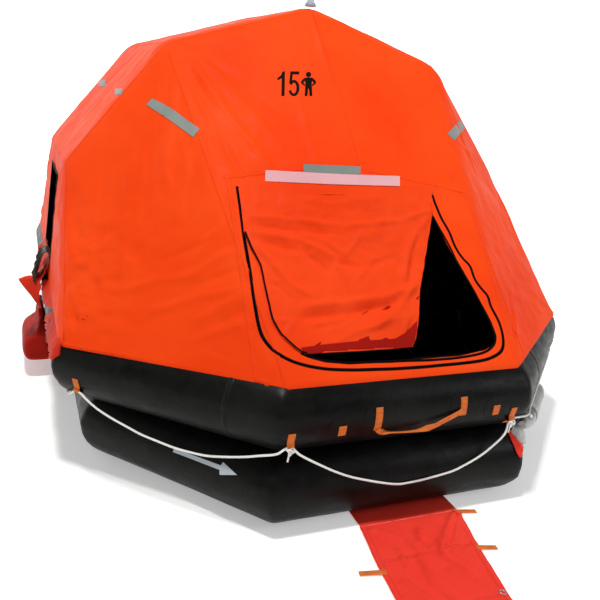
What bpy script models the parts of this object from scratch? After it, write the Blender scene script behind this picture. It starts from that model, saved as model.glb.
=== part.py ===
"""A self-righting inflatable life raft for fifteen people, standing on a floor.

X runs along the front entry edge, Y from the front entry to the rear one and Z up, in metres.
The raft is symmetric about X = 0, and its tubes and canopy are symmetric about Y = 0.
"""
import math

import bmesh
import bpy
from mathutils import Matrix, Vector

# Buoyancy tubes: two stacked rings on an elongated octagon
TUBE_RADIUS = 0.158
GAP = 0.0004
LOWER_Z = TUBE_RADIUS
UPPER_Z = 3 * TUBE_RADIUS + GAP
ENTRY_HALF = 0.50
UPPER_PLAN = (ENTRY_HALF, 1.89, 1.165, 1.235)
LOWER_PLAN = (ENTRY_HALF, 1.895, 1.05, 1.20)
TUBE_SIDES = 28

# Canopy: base corners, the two arch creases and the fabric's two layers taken as one panel
BASE_ENTRY = (0.52, 1.99, 0.6096)
BASE_CORNER = (1.295, 1.31, 0.5746)
CREASE_Y = 0.637
KNEE = (1.22, 1.25)
SHOULDER = (0.74, 1.838)
PEAK_Z = 2.062
PANEL = 0.006
SEAM = 0.0002
CANOPY_CORE = (0.45, 0.75)
SHEET_NET = (20, 14)
CORNER_NET = (8, 12)
WALL_NET = (12, 6)
ROOF_NET = (8, 4)

# Arches under the canopy
ARCH_RADIUS = 0.085
ARCH_INSET = 0.112
ARCH_SETBACK = 0.055
ARCH_BEND = 0.22
ARCH_FOOT_RISE = 0.05
ARCH_KNEE = (0.010, 0.045)
ARCH_SHOULDER = 0.055
ARCH_PEAK_DROP = 0.012

# Floor and the flattened water pockets below it
FLOOR_THICK = 0.050
POCKET = (0.62, 0.44, 0.010)
POCKET_LIFT = 0.0005
FLOOR_SEAT = 0.0007
POCKET_PLACES = ((-0.42, -0.75), (0.42, -0.75), (-0.42, 0.75), (0.42, 0.75))

# Entrances in the front and rear sheets, as half widths and shares of the sheet's height
DOOR_MIDDLE = -0.02
DOOR_HALF_TOP = 0.49
DOOR_HALF_FOOT = 0.495
DOOR_FOOT = 0.037
DOOR_HEAD = 0.50
DOOR_CORNER = 0.13
DOOR_CLEARANCE = 0.008
FLAP_THICK = 0.006
HEAD_GAP = 0.0004
FRONT_FLAP = ((-0.500, 0.4998), (-0.500, 0.370), (-0.490, 0.200), (-0.450, 0.105), (-0.310, 0.060),
              (0.050, 0.065), (0.120, 0.150), (0.217, 0.250), (0.348, 0.400), (0.400, 0.435), (0.455, 0.4998),
              (0.000, 0.4998))

# Port in the left wall, its flap laid out over the tube and the pocket that hangs there
PORT_Y = (-0.30, 0.26)
PORT_Z = (0.68, 1.14)
SIDE_FLAP = (0.50, 0.22)
SIDE_FLAP_FALL = math.radians(-42)
SIDE_FLAP_SEAT = 0.0030
SIDE_RAMP_Y = (-0.28, 0.14)
SIDE_RAMP_TOP = (-1.3050, 0.397)
SIDE_RAMP_FOOT = (-1.455, 0.007)

# Boarding ramp on the floor before the front entry
RAMP_WIDTH = 0.46
RAMP_MIDDLE = 0.032
RAMP_LENGTH = 0.86
RAMP_THICK = 0.008
RAMP_LIFT = 0.001
RAMP_SKEW = math.radians(10)
RAMP_HINGE_Y = -2.062
APRON_Y = (-2.0616, -1.9455)

# Ropes and webbing
ROPE_RADIUS = 0.0045
ROPE_STAND = 0.001
PATCH_THICK = 0.003
SWAG_STEPS = 20
SWAG_BULGE = 0.010
ENTRY_DROP = 0.19
SIDE_DROP = 0.11
ROPE_CLEARANCE = 0.014
INNER_STEPS = 7
INNER_DROP = 0.05
INNER_BULGE = 0.012
HOLD_ANGLE = math.radians(-30)
TAB = (0.030, 0.0085, 0.055)
# Where the lines are held, as shares along the first four edges, and again along the other four
OUTER_HOLDS = ((-0.015, 0.985), (0.941,), (1 / 3, 2 / 3), (0.059,))
INNER_HOLDS = ((0.5,), (0.5,), (1 / 6, 0.5, 5 / 6), (0.5,))

# Webbing ladder at the rear entrance
LADDER_HALF = 0.17
LADDER_RUNGS = (0.07, 0.20, 0.33)
LADDER_STRAP = (0.030, 0.004)
LADDER_STAND = 0.018
LADDER_FOOT = 0.015
LADDER_PATCH = (0.045, 0.07, -0.01)
LADDER_RUNG = (0.012, 0.030, 0.001)

# Gas bottle in its sleeve, in the notch between the two tubes on the right front side
BOTTLE_EDGE = 1
BOTTLE_RADIUS = 0.048
BOTTLE_LENGTH = 0.42
BOTTLE_START = 0.07
BOTTLE_Z = 0.312
NECK = (0.018, 0.05)
SLEEVE_THICK = 0.0035
SLEEVE_LENGTH = 0.26

# Webbing on the front of the upper tube: the handle's place along its edge, and the patches
HANDLE_ROUTE = ((0.342, -12), (0.370, -21), (0.410, -23), (0.470, -23.5), (0.530, -22.5), (0.590, -18),
                (0.630, -11), (0.680, -4), (0.727, 0))
HANDLE_LIFT = (0.0050, 0.017)
HANDLE_STRAP = 0.0045
HANDLE_PATCHES = ((0.342, -20, 16), (0.727, -11, 18))
HANDLE_PATCH = (0.032, 0.006)
PATCH_STEPS = 6
FRONT_PATCH = (0.032, 0.005, 0.045)
FRONT_PATCH_PLACES = (("left", -0.309, math.radians(-14)), ("right", 0.391, math.radians(-9)))

LAMP_RADIUS = 0.030
LAMP_HEIGHT = 0.045
LAMP_SETBACK = 0.03
LAMP_TAPER = 0.6

COLOURS = {
    "canopy": ((0.95, 0.13, 0.035), 0.62, 0.0),
    "tube": ((0.012, 0.012, 0.013), 0.42, 0.0),
    "floor": ((0.03, 0.03, 0.033), 0.55, 0.0),
    "ramp": ((0.90, 0.08, 0.05), 0.65, 0.0),
    "webbing": ((0.95, 0.25, 0.04), 0.7, 0.0),
    "rope": ((0.82, 0.82, 0.80), 0.8, 0.0),
    "bottle": ((0.55, 0.56, 0.57), 0.35, 0.8),
    "lamp": ((0.55, 0.62, 0.70), 0.25, 0.0),
    "pocket": ((0.04, 0.04, 0.045), 0.7, 0.0),
}


def clear_scene():
    for item in list(bpy.data.objects):
        bpy.data.objects.remove(item, do_unlink=True)


def collection(name):
    group = bpy.data.collections.new(name)
    bpy.context.scene.collection.children.link(group)
    return group


def material(name):
    colour, roughness, metallic = COLOURS[name]
    made = bpy.data.materials.get(name)
    if made is None:
        made = bpy.data.materials.new(name)
        made.use_nodes = True
        shader = made.node_tree.nodes["Principled BSDF"]
        shader.inputs["Base Color"].default_value = (*colour, 1)
        shader.inputs["Roughness"].default_value = roughness
        shader.inputs["Metallic"].default_value = metallic
    return made


def put(name, mesh, finish, group, origin=(0, 0, 0)):
    """Links a mesh made in world coordinates as one named object whose origin is at the given point."""
    origin = Vector(origin)
    mesh.transform(Matrix.Translation(-origin))
    mesh.materials.clear()
    mesh.materials.append(material(finish))
    made = bpy.data.objects.new(name, mesh)
    made.location = origin
    group.objects.link(made)
    return made


def mesh_from(work, name):
    bmesh.ops.remove_doubles(work, verts=work.verts, dist=0.00002)
    bmesh.ops.recalc_face_normals(work, faces=work.faces)
    mesh = bpy.data.meshes.new(name)
    work.to_mesh(mesh)
    work.free()
    return mesh


def loft(name, rings, closed_path=False):
    """Skins equal rings of points into a closed solid, capped at both ends unless the path closes."""
    work = bmesh.new()
    made = [[work.verts.new(point) for point in ring] for ring in rings]
    count = len(made[0])
    spans = len(made) if closed_path else len(made) - 1
    for index in range(spans):
        here, there = made[index], made[(index + 1) % len(made)]
        for side in range(count):
            after = (side + 1) % count
            work.faces.new((here[side], here[after], there[after], there[side]))
    if not closed_path:
        work.faces.new(list(reversed(made[0])))
        work.faces.new(made[-1])
    return mesh_from(work, name)


def box(name, size, centre, turn=None):
    work = bmesh.new()
    bmesh.ops.create_cube(work, size=1.0)
    bmesh.ops.scale(work, vec=size, verts=work.verts)
    if turn is not None:
        bmesh.ops.transform(work, matrix=turn, verts=work.verts)
    bmesh.ops.translate(work, vec=centre, verts=work.verts)
    return mesh_from(work, name)


def cylinder(name, radius, length, centre, axis, sides=28, radius_end=None):
    work = bmesh.new()
    end = radius if radius_end is None else radius_end
    bmesh.ops.create_cone(work, cap_ends=True, segments=sides, radius1=radius, radius2=end, depth=length)
    turn = Vector((0, 0, 1)).rotation_difference(Vector(axis)).to_matrix().to_4x4()
    bmesh.ops.transform(work, matrix=Matrix.Translation(centre) @ turn, verts=work.verts)
    return mesh_from(work, name)


def slab(name, outline, low, high):
    """A flat outline raised between two heights, as a filled curve with an extrude."""
    curve = bpy.data.curves.new(name, "CURVE")
    curve.dimensions = "2D"
    curve.fill_mode = "BOTH"
    curve.extrude = (high - low) / 2
    spline = curve.splines.new("POLY")
    spline.points.add(len(outline) - 1)
    for point, (x, y) in zip(spline.points, outline):
        point.co = (x, y, 0, 1)
    spline.use_cyclic_u = True
    holder = bpy.data.objects.new(name, curve)
    bpy.context.scene.collection.objects.link(holder)
    mesh = solid_of(holder)
    mesh.transform(Matrix.Translation((0, 0, (low + high) / 2)))
    return mesh


def tube_along(name, points, radius, cyclic=False, resolution=2):
    """A round rope, rail or tube along a list of points, with its ends filled."""
    curve = bpy.data.curves.new(name, "CURVE")
    curve.dimensions = "3D"
    curve.bevel_depth = radius
    curve.bevel_resolution = resolution
    curve.use_fill_caps = True
    spline = curve.splines.new("POLY")
    spline.points.add(len(points) - 1)
    for point, place in zip(spline.points, points):
        point.co = (*place, 1)
    spline.use_cyclic_u = cyclic
    holder = bpy.data.objects.new(name, curve)
    bpy.context.scene.collection.objects.link(holder)
    return solid_of(holder)


def solid_of(holder):
    """The mesh of an object as its modifiers or its curve make it, and the object gone."""
    depsgraph = bpy.context.evaluated_depsgraph_get()
    mesh = bpy.data.meshes.new_from_object(holder.evaluated_get(depsgraph))
    bpy.data.objects.remove(holder, do_unlink=True)
    work = bmesh.new()
    work.from_mesh(mesh)
    return mesh_from(work, mesh.name)


def boolean(mesh, other, operation="DIFFERENCE"):
    """One solid cut by, or joined with, another."""
    body = bpy.data.objects.new("body", mesh)
    tool = bpy.data.objects.new("tool", other)
    for item in (body, tool):
        bpy.context.scene.collection.objects.link(item)
    change = body.modifiers.new("boolean", "BOOLEAN")
    change.operation = operation
    change.solver = "EXACT"
    change.object = tool
    made = solid_of(body)
    bpy.data.objects.remove(tool, do_unlink=True)
    return made


def octagon(plan):
    """Corners of an elongated octagon, counter-clockwise from the front left one."""
    entry, front, side, corner = plan
    return [Vector(p) for p in ((-entry, -front), (entry, -front), (side, -corner), (side, corner),
                                (entry, front), (-entry, front), (-side, corner), (-side, -corner))]


def offset(outline, distance):
    """The outline moved inwards by a distance, for corners listed counter-clockwise."""
    moved = []
    count = len(outline)
    for index, here in enumerate(outline):
        before = (here - outline[index - 1]).normalized()
        after = (outline[(index + 1) % count] - here).normalized()
        normal_a = Vector((-before.y, before.x))
        normal_b = Vector((-after.y, after.x))
        middle = (normal_a + normal_b).normalized()
        moved.append(here + middle * (distance / middle.dot(normal_a)))
    return moved


def tube_ring(name, plan, height, radius, sides=TUBE_SIDES):
    """A round tube along an octagon, mitred at its corners."""
    rings = []
    corners = octagon(plan)
    outer = offset(corners, -1.0)
    for here, out in zip(corners, outer):
        reach = out - here
        ring = []
        for step in range(sides):
            angle = math.tau * step / sides
            flat = here + reach * (radius * math.cos(angle))
            ring.append((flat.x, flat.y, height + radius * math.sin(angle)))
        rings.append(ring)
    return loft(name, rings, closed_path=True)


def core_direction(point):
    """The direction that a panel's thickness runs in, out from a short core line inside the canopy."""
    along = max(-CANOPY_CORE[0], min(CANOPY_CORE[0], point.y))
    return (point - Vector((0, along, CANOPY_CORE[1]))).normalized()


def panel(name, surface, columns, rows):
    """A fabric panel: an outer surface over the unit square and an inner one a panel's thickness in."""
    grid = [[surface(c / columns, r / rows) for c in range(columns + 1)] for r in range(rows + 1)]
    work = bmesh.new()
    outer = [[work.verts.new(p) for p in row] for row in grid]
    inner = [[work.verts.new(p - core_direction(p) * PANEL) for p in row] for row in grid]
    for r in range(rows):
        for c in range(columns):
            work.faces.new((outer[r][c], outer[r][c + 1], outer[r + 1][c + 1], outer[r + 1][c]))
            work.faces.new((inner[r][c], inner[r + 1][c], inner[r + 1][c + 1], inner[r][c + 1]))
    for c in range(columns):
        work.faces.new((outer[0][c + 1], outer[0][c], inner[0][c], inner[0][c + 1]))
        work.faces.new((outer[rows][c], outer[rows][c + 1], inner[rows][c + 1], inner[rows][c]))
    for r in range(rows):
        work.faces.new((outer[r][0], outer[r + 1][0], inner[r + 1][0], inner[r][0]))
        work.faces.new((outer[r + 1][columns], outer[r][columns], inner[r][columns], inner[r + 1][columns]))
    return mesh_from(work, name)


def quad_surface(foot_start, foot_end, head_start, head_end):
    """A ruled surface between a foot edge and a head edge, kept a seam's width inside its border."""
    def at(across, up):
        width = (foot_end - foot_start).length
        height = (head_start - foot_start).length
        across = SEAM / width + across * (1 - 2 * SEAM / width)
        up = SEAM / height + up * (1 - 2 * SEAM / height)
        return foot_start.lerp(foot_end, across).lerp(head_start.lerp(head_end, across), up)
    return at


def canopy_corners(side, end):
    """The canopy's named corners for a side (-1 left, 1 right) and an end (-1 front, 1 rear)."""
    return {
        "entry": Vector((side * BASE_ENTRY[0], end * BASE_ENTRY[1], BASE_ENTRY[2])),
        "corner": Vector((side * BASE_CORNER[0], end * BASE_CORNER[1], BASE_CORNER[2])),
        "knee": Vector((side * KNEE[0], end * CREASE_Y, KNEE[1])),
        "shoulder": Vector((side * SHOULDER[0], end * CREASE_Y, SHOULDER[1])),
        "peak": Vector((0, end * CREASE_Y, PEAK_Z)),
    }


def sheet_point(x_share, up, end):
    """A point of the front or rear sheet: x_share from -1 to 1 across it, up from 0 at its foot."""
    right = canopy_corners(1, end)
    foot = Vector((right["entry"].x * x_share, right["entry"].y, right["entry"].z))
    head = right["peak"].lerp(right["shoulder"], abs(x_share))
    head.x = right["shoulder"].x * x_share
    return foot.lerp(head, up)


def end_sheet(end):
    """The wide middle sheet over an entrance, with its peak in the middle of its head edge."""
    def at(across, up):
        share = (2 * across - 1) * (1 - SEAM / BASE_ENTRY[0])
        inset = SEAM / (PEAK_Z - BASE_ENTRY[2])
        return sheet_point(share, inset + up * (1 - 2 * inset), end)
    return at


def door_outline(grow, end, foot_corner=DOOR_CORNER):
    """The entrance's outline, as (x, share of the sheet's height), grown by a margin in metres."""
    sheet_height = (sheet_point(0, 1, end) - sheet_point(0, 0, end)).length
    low, high = DOOR_FOOT - grow / sheet_height, DOOR_HEAD + grow / sheet_height
    middle = DOOR_MIDDLE
    points = [(middle - DOOR_HALF_TOP - grow, high)]
    for side in (-1, 1):
        half = DOOR_HALF_FOOT + grow
        arc = []
        for step in range(6):
            angle = math.radians(90 * step / 5)
            x = half - foot_corner * (1 - math.cos(angle))
            up = low + foot_corner / sheet_height * (1 - math.sin(angle))
            arc.append((middle + side * x, up))
        points += arc if side < 0 else list(reversed(arc))
    points.append((middle + DOOR_HALF_TOP + grow, high))
    points.append((0, high))
    return points


def on_sheet(x, up, end):
    """A point of the sheet at a real distance x from the middle."""
    half = BASE_ENTRY[0] + (SHOULDER[0] - BASE_ENTRY[0]) * up
    return sheet_point(x / half, up, end)


def prism_through_sheet(outline, end, reach):
    """A cutter with a given outline on the sheet, running square through it."""
    normal = Vector((0, end * (PEAK_Z - BASE_ENTRY[2]), BASE_ENTRY[1] - CREASE_Y)).normalized()
    middle = [on_sheet(x, up, end) for x, up in outline]
    return loft("door_cutter", [[p - normal * reach for p in middle], [p + normal * reach for p in middle]])


def rounded(points, radius, steps=4):
    """A path with each inner corner replaced by an arc."""
    path = [points[0]]
    for before, here, after in zip(points, points[1:], points[2:]):
        back, on = (before - here).normalized(), (after - here).normalized()
        half = back.angle(on) / 2
        trim = min(radius / math.tan(half), 0.45 * (before - here).length, 0.45 * (after - here).length)
        start, end = here + back * trim, here + on * trim
        for step in range(steps + 1):
            share = step / steps
            path.append(start.lerp(here, share).lerp(here.lerp(end, share), share))
    path.append(points[-1])
    return path


def build_tubes(parts):
    put("lower_tube", tube_ring("lower_tube", LOWER_PLAN, LOWER_Z, TUBE_RADIUS), "tube", parts)
    put("upper_tube", tube_ring("upper_tube", UPPER_PLAN, UPPER_Z, TUBE_RADIUS), "tube", parts)


def build_floor(parts):
    """The inflated floor rests on the ground, pressed in where the four folded water pockets lie."""
    rise = TUBE_RADIUS - FLOOR_THICK
    inset = math.sqrt(TUBE_RADIUS ** 2 - rise ** 2) - FLOOR_SEAT
    outline = [tuple(p) for p in offset(octagon(LOWER_PLAN), inset)]
    mesh = slab("raft_floor", outline, 0.0, FLOOR_THICK)
    room = tuple(side + 2 * GAP for side in POCKET[:2]) + (2 * (POCKET[2] + POCKET_LIFT + GAP),)
    for number, (x, y) in enumerate(POCKET_PLACES, 1):
        mesh = boolean(mesh, box("recess", room, (x, y, 0)))
        height = POCKET_LIFT + POCKET[2] / 2
        put(f"water_pocket_{number}", box("pocket", POCKET, (x, y, height)), "pocket", parts)
    put("raft_floor", mesh, "floor", parts)


def build_arch(name, end, parts):
    """An arch tube inside the canopy's crease, with its feet cut to sit on the upper tube."""
    side = KNEE[0] - ARCH_INSET
    lean = (BASE_CORNER[0] - KNEE[0]) / (KNEE[1] - BASE_CORNER[2])
    foot_z = UPPER_Z + ARCH_FOOT_RISE
    foot_x = side + lean * (KNEE[1] - foot_z)
    y = end * (CREASE_Y - ARCH_SETBACK)
    knee = (side + ARCH_KNEE[0], KNEE[1] - ARCH_KNEE[1])
    shoulder = (SHOULDER[0] - ARCH_SHOULDER, SHOULDER[1] - ARCH_INSET)
    half = [Vector((foot_x, y, foot_z)), Vector((knee[0], y, knee[1])), Vector((shoulder[0], y, shoulder[1]))]
    peak = Vector((0, y, PEAK_Z - ARCH_INSET - ARCH_PEAK_DROP))
    mirrored = [Vector((-p.x, p.y, p.z)) for p in half]
    path = rounded(half + [peak] + list(reversed(mirrored)), ARCH_BEND)
    mesh = tube_along(name, path, ARCH_RADIUS, resolution=5)
    cutter = tube_ring("arch_cutter", UPPER_PLAN, UPPER_Z, TUBE_RADIUS + GAP)
    put(name, boolean(mesh, cutter), "tube", parts)


def build_canopy(parts):
    for end, end_name in ((-1, "front"), (1, "rear")):
        mesh = panel(f"canopy_{end_name}", end_sheet(end), *SHEET_NET)
        mesh = boolean(mesh, prism_through_sheet(door_outline(0.0, end), end, 0.15))
        put(f"canopy_{end_name}", mesh, "canopy", parts)
        for side, side_name in ((-1, "left"), (1, "right")):
            at = canopy_corners(side, end)
            surface = quad_surface(at["entry"], at["corner"], at["shoulder"], at["knee"])
            name = f"canopy_{end_name}_{side_name}"
            put(name, panel(name, surface, *CORNER_NET), "canopy", parts)
    for side, side_name in ((-1, "left"), (1, "right")):
        front, rear = canopy_corners(side, -1), canopy_corners(side, 1)
        surface = quad_surface(front["corner"], rear["corner"], front["knee"], rear["knee"])
        wall = panel("wall", surface, *WALL_NET)
        if side < 0:
            wall = boolean(wall, port_cutter())
        put(f"side_wall_{side_name}", wall, "canopy", parts)
        slant = quad_surface(front["knee"], rear["knee"], front["shoulder"], rear["shoulder"])
        put(f"canopy_slant_{side_name}", panel("slant", slant, *ROOF_NET), "canopy", parts)
        roof = quad_surface(front["shoulder"], rear["shoulder"], front["peak"], rear["peak"])
        put(f"canopy_roof_{side_name}", panel("roof", roof, *ROOF_NET), "canopy", parts)


def port_cutter():
    size = (0.4, PORT_Y[1] - PORT_Y[0], PORT_Z[1] - PORT_Z[0])
    centre = (-BASE_CORNER[0], sum(PORT_Y) / 2, sum(PORT_Z) / 2)
    return box("port_cutter", size, centre)


def sheet_normal(end):
    return Vector((0, end * (PEAK_Z - BASE_ENTRY[2]), BASE_ENTRY[1] - CREASE_Y)).normalized()


def rear_flap_outline():
    """The entrance's outline with a clearance all round, and its head edge up to its seam."""
    outline = door_outline(-DOOR_CLEARANCE, 1)
    height = (sheet_point(0, 1, 1) - sheet_point(0, 0, 1)).length
    head = DOOR_HEAD - HEAD_GAP / height
    highest = max(up for _, up in outline)
    return [(x, head if up == highest else up) for x, up in outline]


def build_doors(parts):
    """The front flap hangs unzipped from its head seam, gathered to the left; the rear one is closed."""
    for end, name in ((-1, "front_door_flap"), (1, "rear_door_flap")):
        outline = FRONT_FLAP if end < 0 else rear_flap_outline()
        outer = [on_sheet(x, up, end) for x, up in outline]
        inner = [p - sheet_normal(end) * FLAP_THICK for p in outer]
        put(name, loft(name, [inner, outer]), "canopy", parts, on_sheet(0, DOOR_HEAD, end))


def build_ramp(parts):
    """The red boarding ramp lies on the floor, hinged to an apron that is glued below the lower tube."""
    hinge = Vector((RAMP_MIDDLE, RAMP_HINGE_Y, RAMP_LIFT + RAMP_THICK))
    reach = Vector((-math.sin(RAMP_SKEW), -math.cos(RAMP_SKEW), 0)) * RAMP_LENGTH
    rings = []
    for x in (-RAMP_WIDTH / 2, RAMP_WIDTH / 2):
        near = hinge + Vector((x, 0, 0))
        down = Vector((0, 0, -RAMP_THICK))
        rings.append([near + down, near, near + reach, near + reach + down])
    put("boarding_ramp", loft("boarding_ramp", rings), "ramp", parts, hinge)
    size = (RAMP_WIDTH, APRON_Y[1] - APRON_Y[0], RAMP_THICK)
    centre = (RAMP_MIDDLE, sum(APRON_Y) / 2, RAMP_LIFT + RAMP_THICK / 2)
    put("ramp_apron", box("ramp_apron", size, centre), "ramp", parts)


def tube_patch(name, plan, height, edge, along, width, low, high, thick=PATCH_THICK, lift=GAP):
    """A webbing patch wrapped on a tube's outer side: edge number, place along it, and two angles."""
    corners = octagon(plan)
    start, end = corners[edge], corners[(edge + 1) % 8]
    run = (end - start).normalized()
    out = Vector((run.y, -run.x))
    middle = start.lerp(end, along)
    rings = []
    for offset_along in (-width / 2, width / 2):
        ring = []
        base = middle + run * offset_along
        inner = (TUBE_RADIUS + lift, range(PATCH_STEPS + 1))
        outer = (TUBE_RADIUS + lift + thick, range(PATCH_STEPS, -1, -1))
        for radius, order in (inner, outer):
            for step in order:
                angle = math.radians(low + (high - low) * step / PATCH_STEPS)
                flat = base + out * (radius * math.cos(angle))
                ring.append((flat.x, flat.y, height + radius * math.sin(angle)))
        rings.append(ring)
    return loft(name, rings)


def outer_point(plan, height, edge, along, angle, radius):
    corners = octagon(plan)
    start, end = corners[edge], corners[(edge + 1) % 8]
    run = (end - start).normalized()
    out = Vector((run.y, -run.x))
    flat = start.lerp(end, along) + out * (radius * math.cos(math.radians(angle)))
    return Vector((flat.x, flat.y, height + radius * math.sin(math.radians(angle))))


def holds(plan, height, shares, inside=False):
    """Where a line is held on a tube: the place on its surface, the normal there and the edge's number."""
    corners = octagon(plan)
    found = []
    for edge, here in enumerate(corners):
        there = corners[(edge + 1) % 8]
        run = (there - here).normalized()
        reach = Vector((run.y, -run.x)) * (-1 if inside else 1)
        for share in shares[edge % 4]:
            flat = here + (there - here) * share + reach * (TUBE_RADIUS * math.cos(HOLD_ANGLE))
            surface = Vector((flat.x, flat.y, height + TUBE_RADIUS * math.sin(HOLD_ANGLE)))
            normal = Vector((*(reach * math.cos(HOLD_ANGLE)), math.sin(HOLD_ANGLE)))
            found.append((surface, normal, edge))
    return found


def outside_tubes(point):
    """A point of the outer line, moved out where it would lie in a tube."""
    rings = ((UPPER_PLAN, UPPER_Z, ROPE_CLEARANCE), (LOWER_PLAN, LOWER_Z, ROPE_STAND))
    for plan, height, clearance in rings:
        room = TUBE_RADIUS + ROPE_RADIUS + clearance
        rise = point.z - height
        if abs(rise) >= room:
            continue
        corners = octagon(plan)
        reaches = []
        for edge, here in enumerate(corners):
            run = (corners[(edge + 1) % 8] - here).normalized()
            out = Vector((run.y, -run.x))
            reaches.append(((point.xy - here).dot(out), edge, out))
        reach, _, out = max(reaches, key=lambda item: item[0])
        short = math.sqrt(room ** 2 - rise ** 2) - reach
        if short > 0:
            point = point + Vector((*(out * short), 0))
    return point


def swags(places, steps, bulge, drop_of, settle=None):
    """A line's loop, hanging in a swag between each two holds."""
    grips = [surface + normal * (GAP + TAB[1] + ROPE_STAND) for surface, normal, _ in places]
    points = []
    for index, here in enumerate(grips):
        after = (index + 1) % len(grips)
        drop = drop_of(places[index][2], places[after][2])
        out = places[index][1] + places[after][1]
        out = Vector((out.x, out.y, 0)).normalized()
        for step in range(steps):
            share = step / steps
            sag = 4 * share * (1 - share)
            point = here.lerp(grips[after], share) + out * (bulge * sag) - Vector((0, 0, drop * sag))
            points.append(settle(point) if settle and step else point)
    return points


def outer_drop(edge, next_edge):
    """The line hangs deepest along the entries, and lies straight over the gas bottle."""
    if edge == next_edge and edge % 4 == 0:
        return ENTRY_DROP
    return 0.0 if next_edge == BOTTLE_EDGE and edge != next_edge else SIDE_DROP


def held_line(name, places, route, parts):
    """A rope with the webbing tabs that hold it, as one piece."""
    mesh = tube_along(name, route, ROPE_RADIUS, cyclic=True)
    for surface, normal, _ in places:
        side = Vector((0, 0, 1)).cross(normal).normalized()
        up = normal.cross(side)
        turn = Matrix((side, normal, up)).transposed().to_4x4()
        centre = surface + normal * (GAP + TAB[1] / 2)
        mesh = boolean(mesh, box("tab", TAB, centre, turn), "UNION")
    put(name, mesh, "rope", parts)


def build_lines(parts):
    """The outer line round the raft and the inner one, each a closed loop."""
    outside = holds(UPPER_PLAN, UPPER_Z, OUTER_HOLDS)
    held_line("grab_line", outside, swags(outside, SWAG_STEPS, SWAG_BULGE, outer_drop, outside_tubes), parts)
    within = holds(UPPER_PLAN, UPPER_Z, INNER_HOLDS, inside=True)
    held_line("inner_line", within, swags(within, INNER_STEPS, INNER_BULGE, lambda *_: INNER_DROP), parts)


def build_ladder(parts):
    """A webbing ladder that hangs from two patches on the rear of the upper tube."""
    face_y = max(UPPER_PLAN[1], LOWER_PLAN[1]) + TUBE_RADIUS + LADDER_STAND
    length = UPPER_Z - LADDER_FOOT
    patch_depth = face_y - UPPER_PLAN[1] - TUBE_RADIUS - GAP
    mesh = None
    for side in (-1, 1):
        x = side * LADDER_HALF
        strap = box("strap", (*LADDER_STRAP, length), (x, face_y, LADDER_FOOT + length / 2))
        size = (LADDER_PATCH[0], patch_depth, LADDER_PATCH[1])
        patch = box("patch", size, (x, face_y - patch_depth / 2, UPPER_Z + LADDER_PATCH[2]))
        strap = boolean(strap, patch, "UNION")
        mesh = strap if mesh is None else boolean(mesh, strap, "UNION")
    for height in LADDER_RUNGS:
        size = (2 * LADDER_HALF, *LADDER_RUNG[:2])
        mesh = boolean(mesh, box("rung", size, (0, face_y + LADDER_RUNG[2], height)), "UNION")
    put("rear_ladder", mesh, "webbing", parts)


def build_handle(parts):
    """The webbing handle on the front of the upper tube, with its two end patches."""
    first, last = HANDLE_ROUTE[0][0], HANDLE_ROUTE[-1][0]
    route = []
    for along, angle in HANDLE_ROUTE:
        arc = math.sin(math.pi * (along - first) / (last - first))
        radius = TUBE_RADIUS + HANDLE_LIFT[0] + HANDLE_LIFT[1] * arc
        route.append(outer_point(UPPER_PLAN, UPPER_Z, 0, along, angle, radius))
    strap = tube_along("strap", route, HANDLE_STRAP)
    width, thick = HANDLE_PATCH
    for along, low, high in HANDLE_PATCHES:
        patch = tube_patch("patch", UPPER_PLAN, UPPER_Z, 0, along, width, low, high, thick=thick)
        strap = boolean(strap, patch, "UNION")
    put("front_handle", strap, "webbing", parts)


def build_front_patches(parts):
    """Two small webbing pads sewn flat on the front of the upper tube, where a line can be made fast."""
    for name, x, angle in FRONT_PATCH_PLACES:
        reach = TUBE_RADIUS + GAP + FRONT_PATCH[1] / 2
        centre = (x, -UPPER_PLAN[1] - reach * math.cos(angle), UPPER_Z + reach * math.sin(angle))
        turn = Matrix.Rotation(-angle, 4, "X")
        put(f"front_patch_{name}", box("patch", FRONT_PATCH, centre, turn), "webbing", parts)


def build_bottle(parts):
    """The gas bottle lies along the upper tube, on its lower flank, with its neck at the front corner."""
    corners = octagon(UPPER_PLAN)
    start, end = corners[BOTTLE_EDGE], corners[BOTTLE_EDGE + 1]
    run = (end - start).normalized()
    out = Vector((run.y, -run.x))
    distance = TUBE_RADIUS + GAP + SLEEVE_THICK + BOTTLE_RADIUS
    reach = math.sqrt(distance ** 2 - (UPPER_Z - BOTTLE_Z) ** 2)
    flat = start + run * (BOTTLE_START + BOTTLE_LENGTH / 2) + out * reach
    centre = Vector((flat.x, flat.y, BOTTLE_Z))
    axis = Vector((run.x, run.y, 0))
    body = cylinder("bottle", BOTTLE_RADIUS, BOTTLE_LENGTH, centre, axis)
    neck_centre = centre - axis * (BOTTLE_LENGTH / 2 + NECK[1] / 4)
    neck = cylinder("neck", NECK[0], NECK[1], neck_centre, axis, sides=20)
    put("gas_bottle", boolean(body, neck, "UNION"), "bottle", parts)
    sleeve = cylinder("sleeve", BOTTLE_RADIUS + SLEEVE_THICK, SLEEVE_LENGTH, centre, axis)
    bore = cylinder("bore", BOTTLE_RADIUS + GAP, BOTTLE_LENGTH, centre, axis)
    put("bottle_sleeve", boolean(sleeve, bore), "ramp", parts)


def build_lamp(parts):
    foot = PEAK_Z + GAP / 2
    centre = (0, -CREASE_Y + LAMP_SETBACK, foot + LAMP_HEIGHT / 2)
    base = cylinder("lamp", LAMP_RADIUS, LAMP_HEIGHT, centre, (0, 0, 1), radius_end=LAMP_RADIUS * LAMP_TAPER)
    put("canopy_light", base, "lamp", parts)


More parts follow.
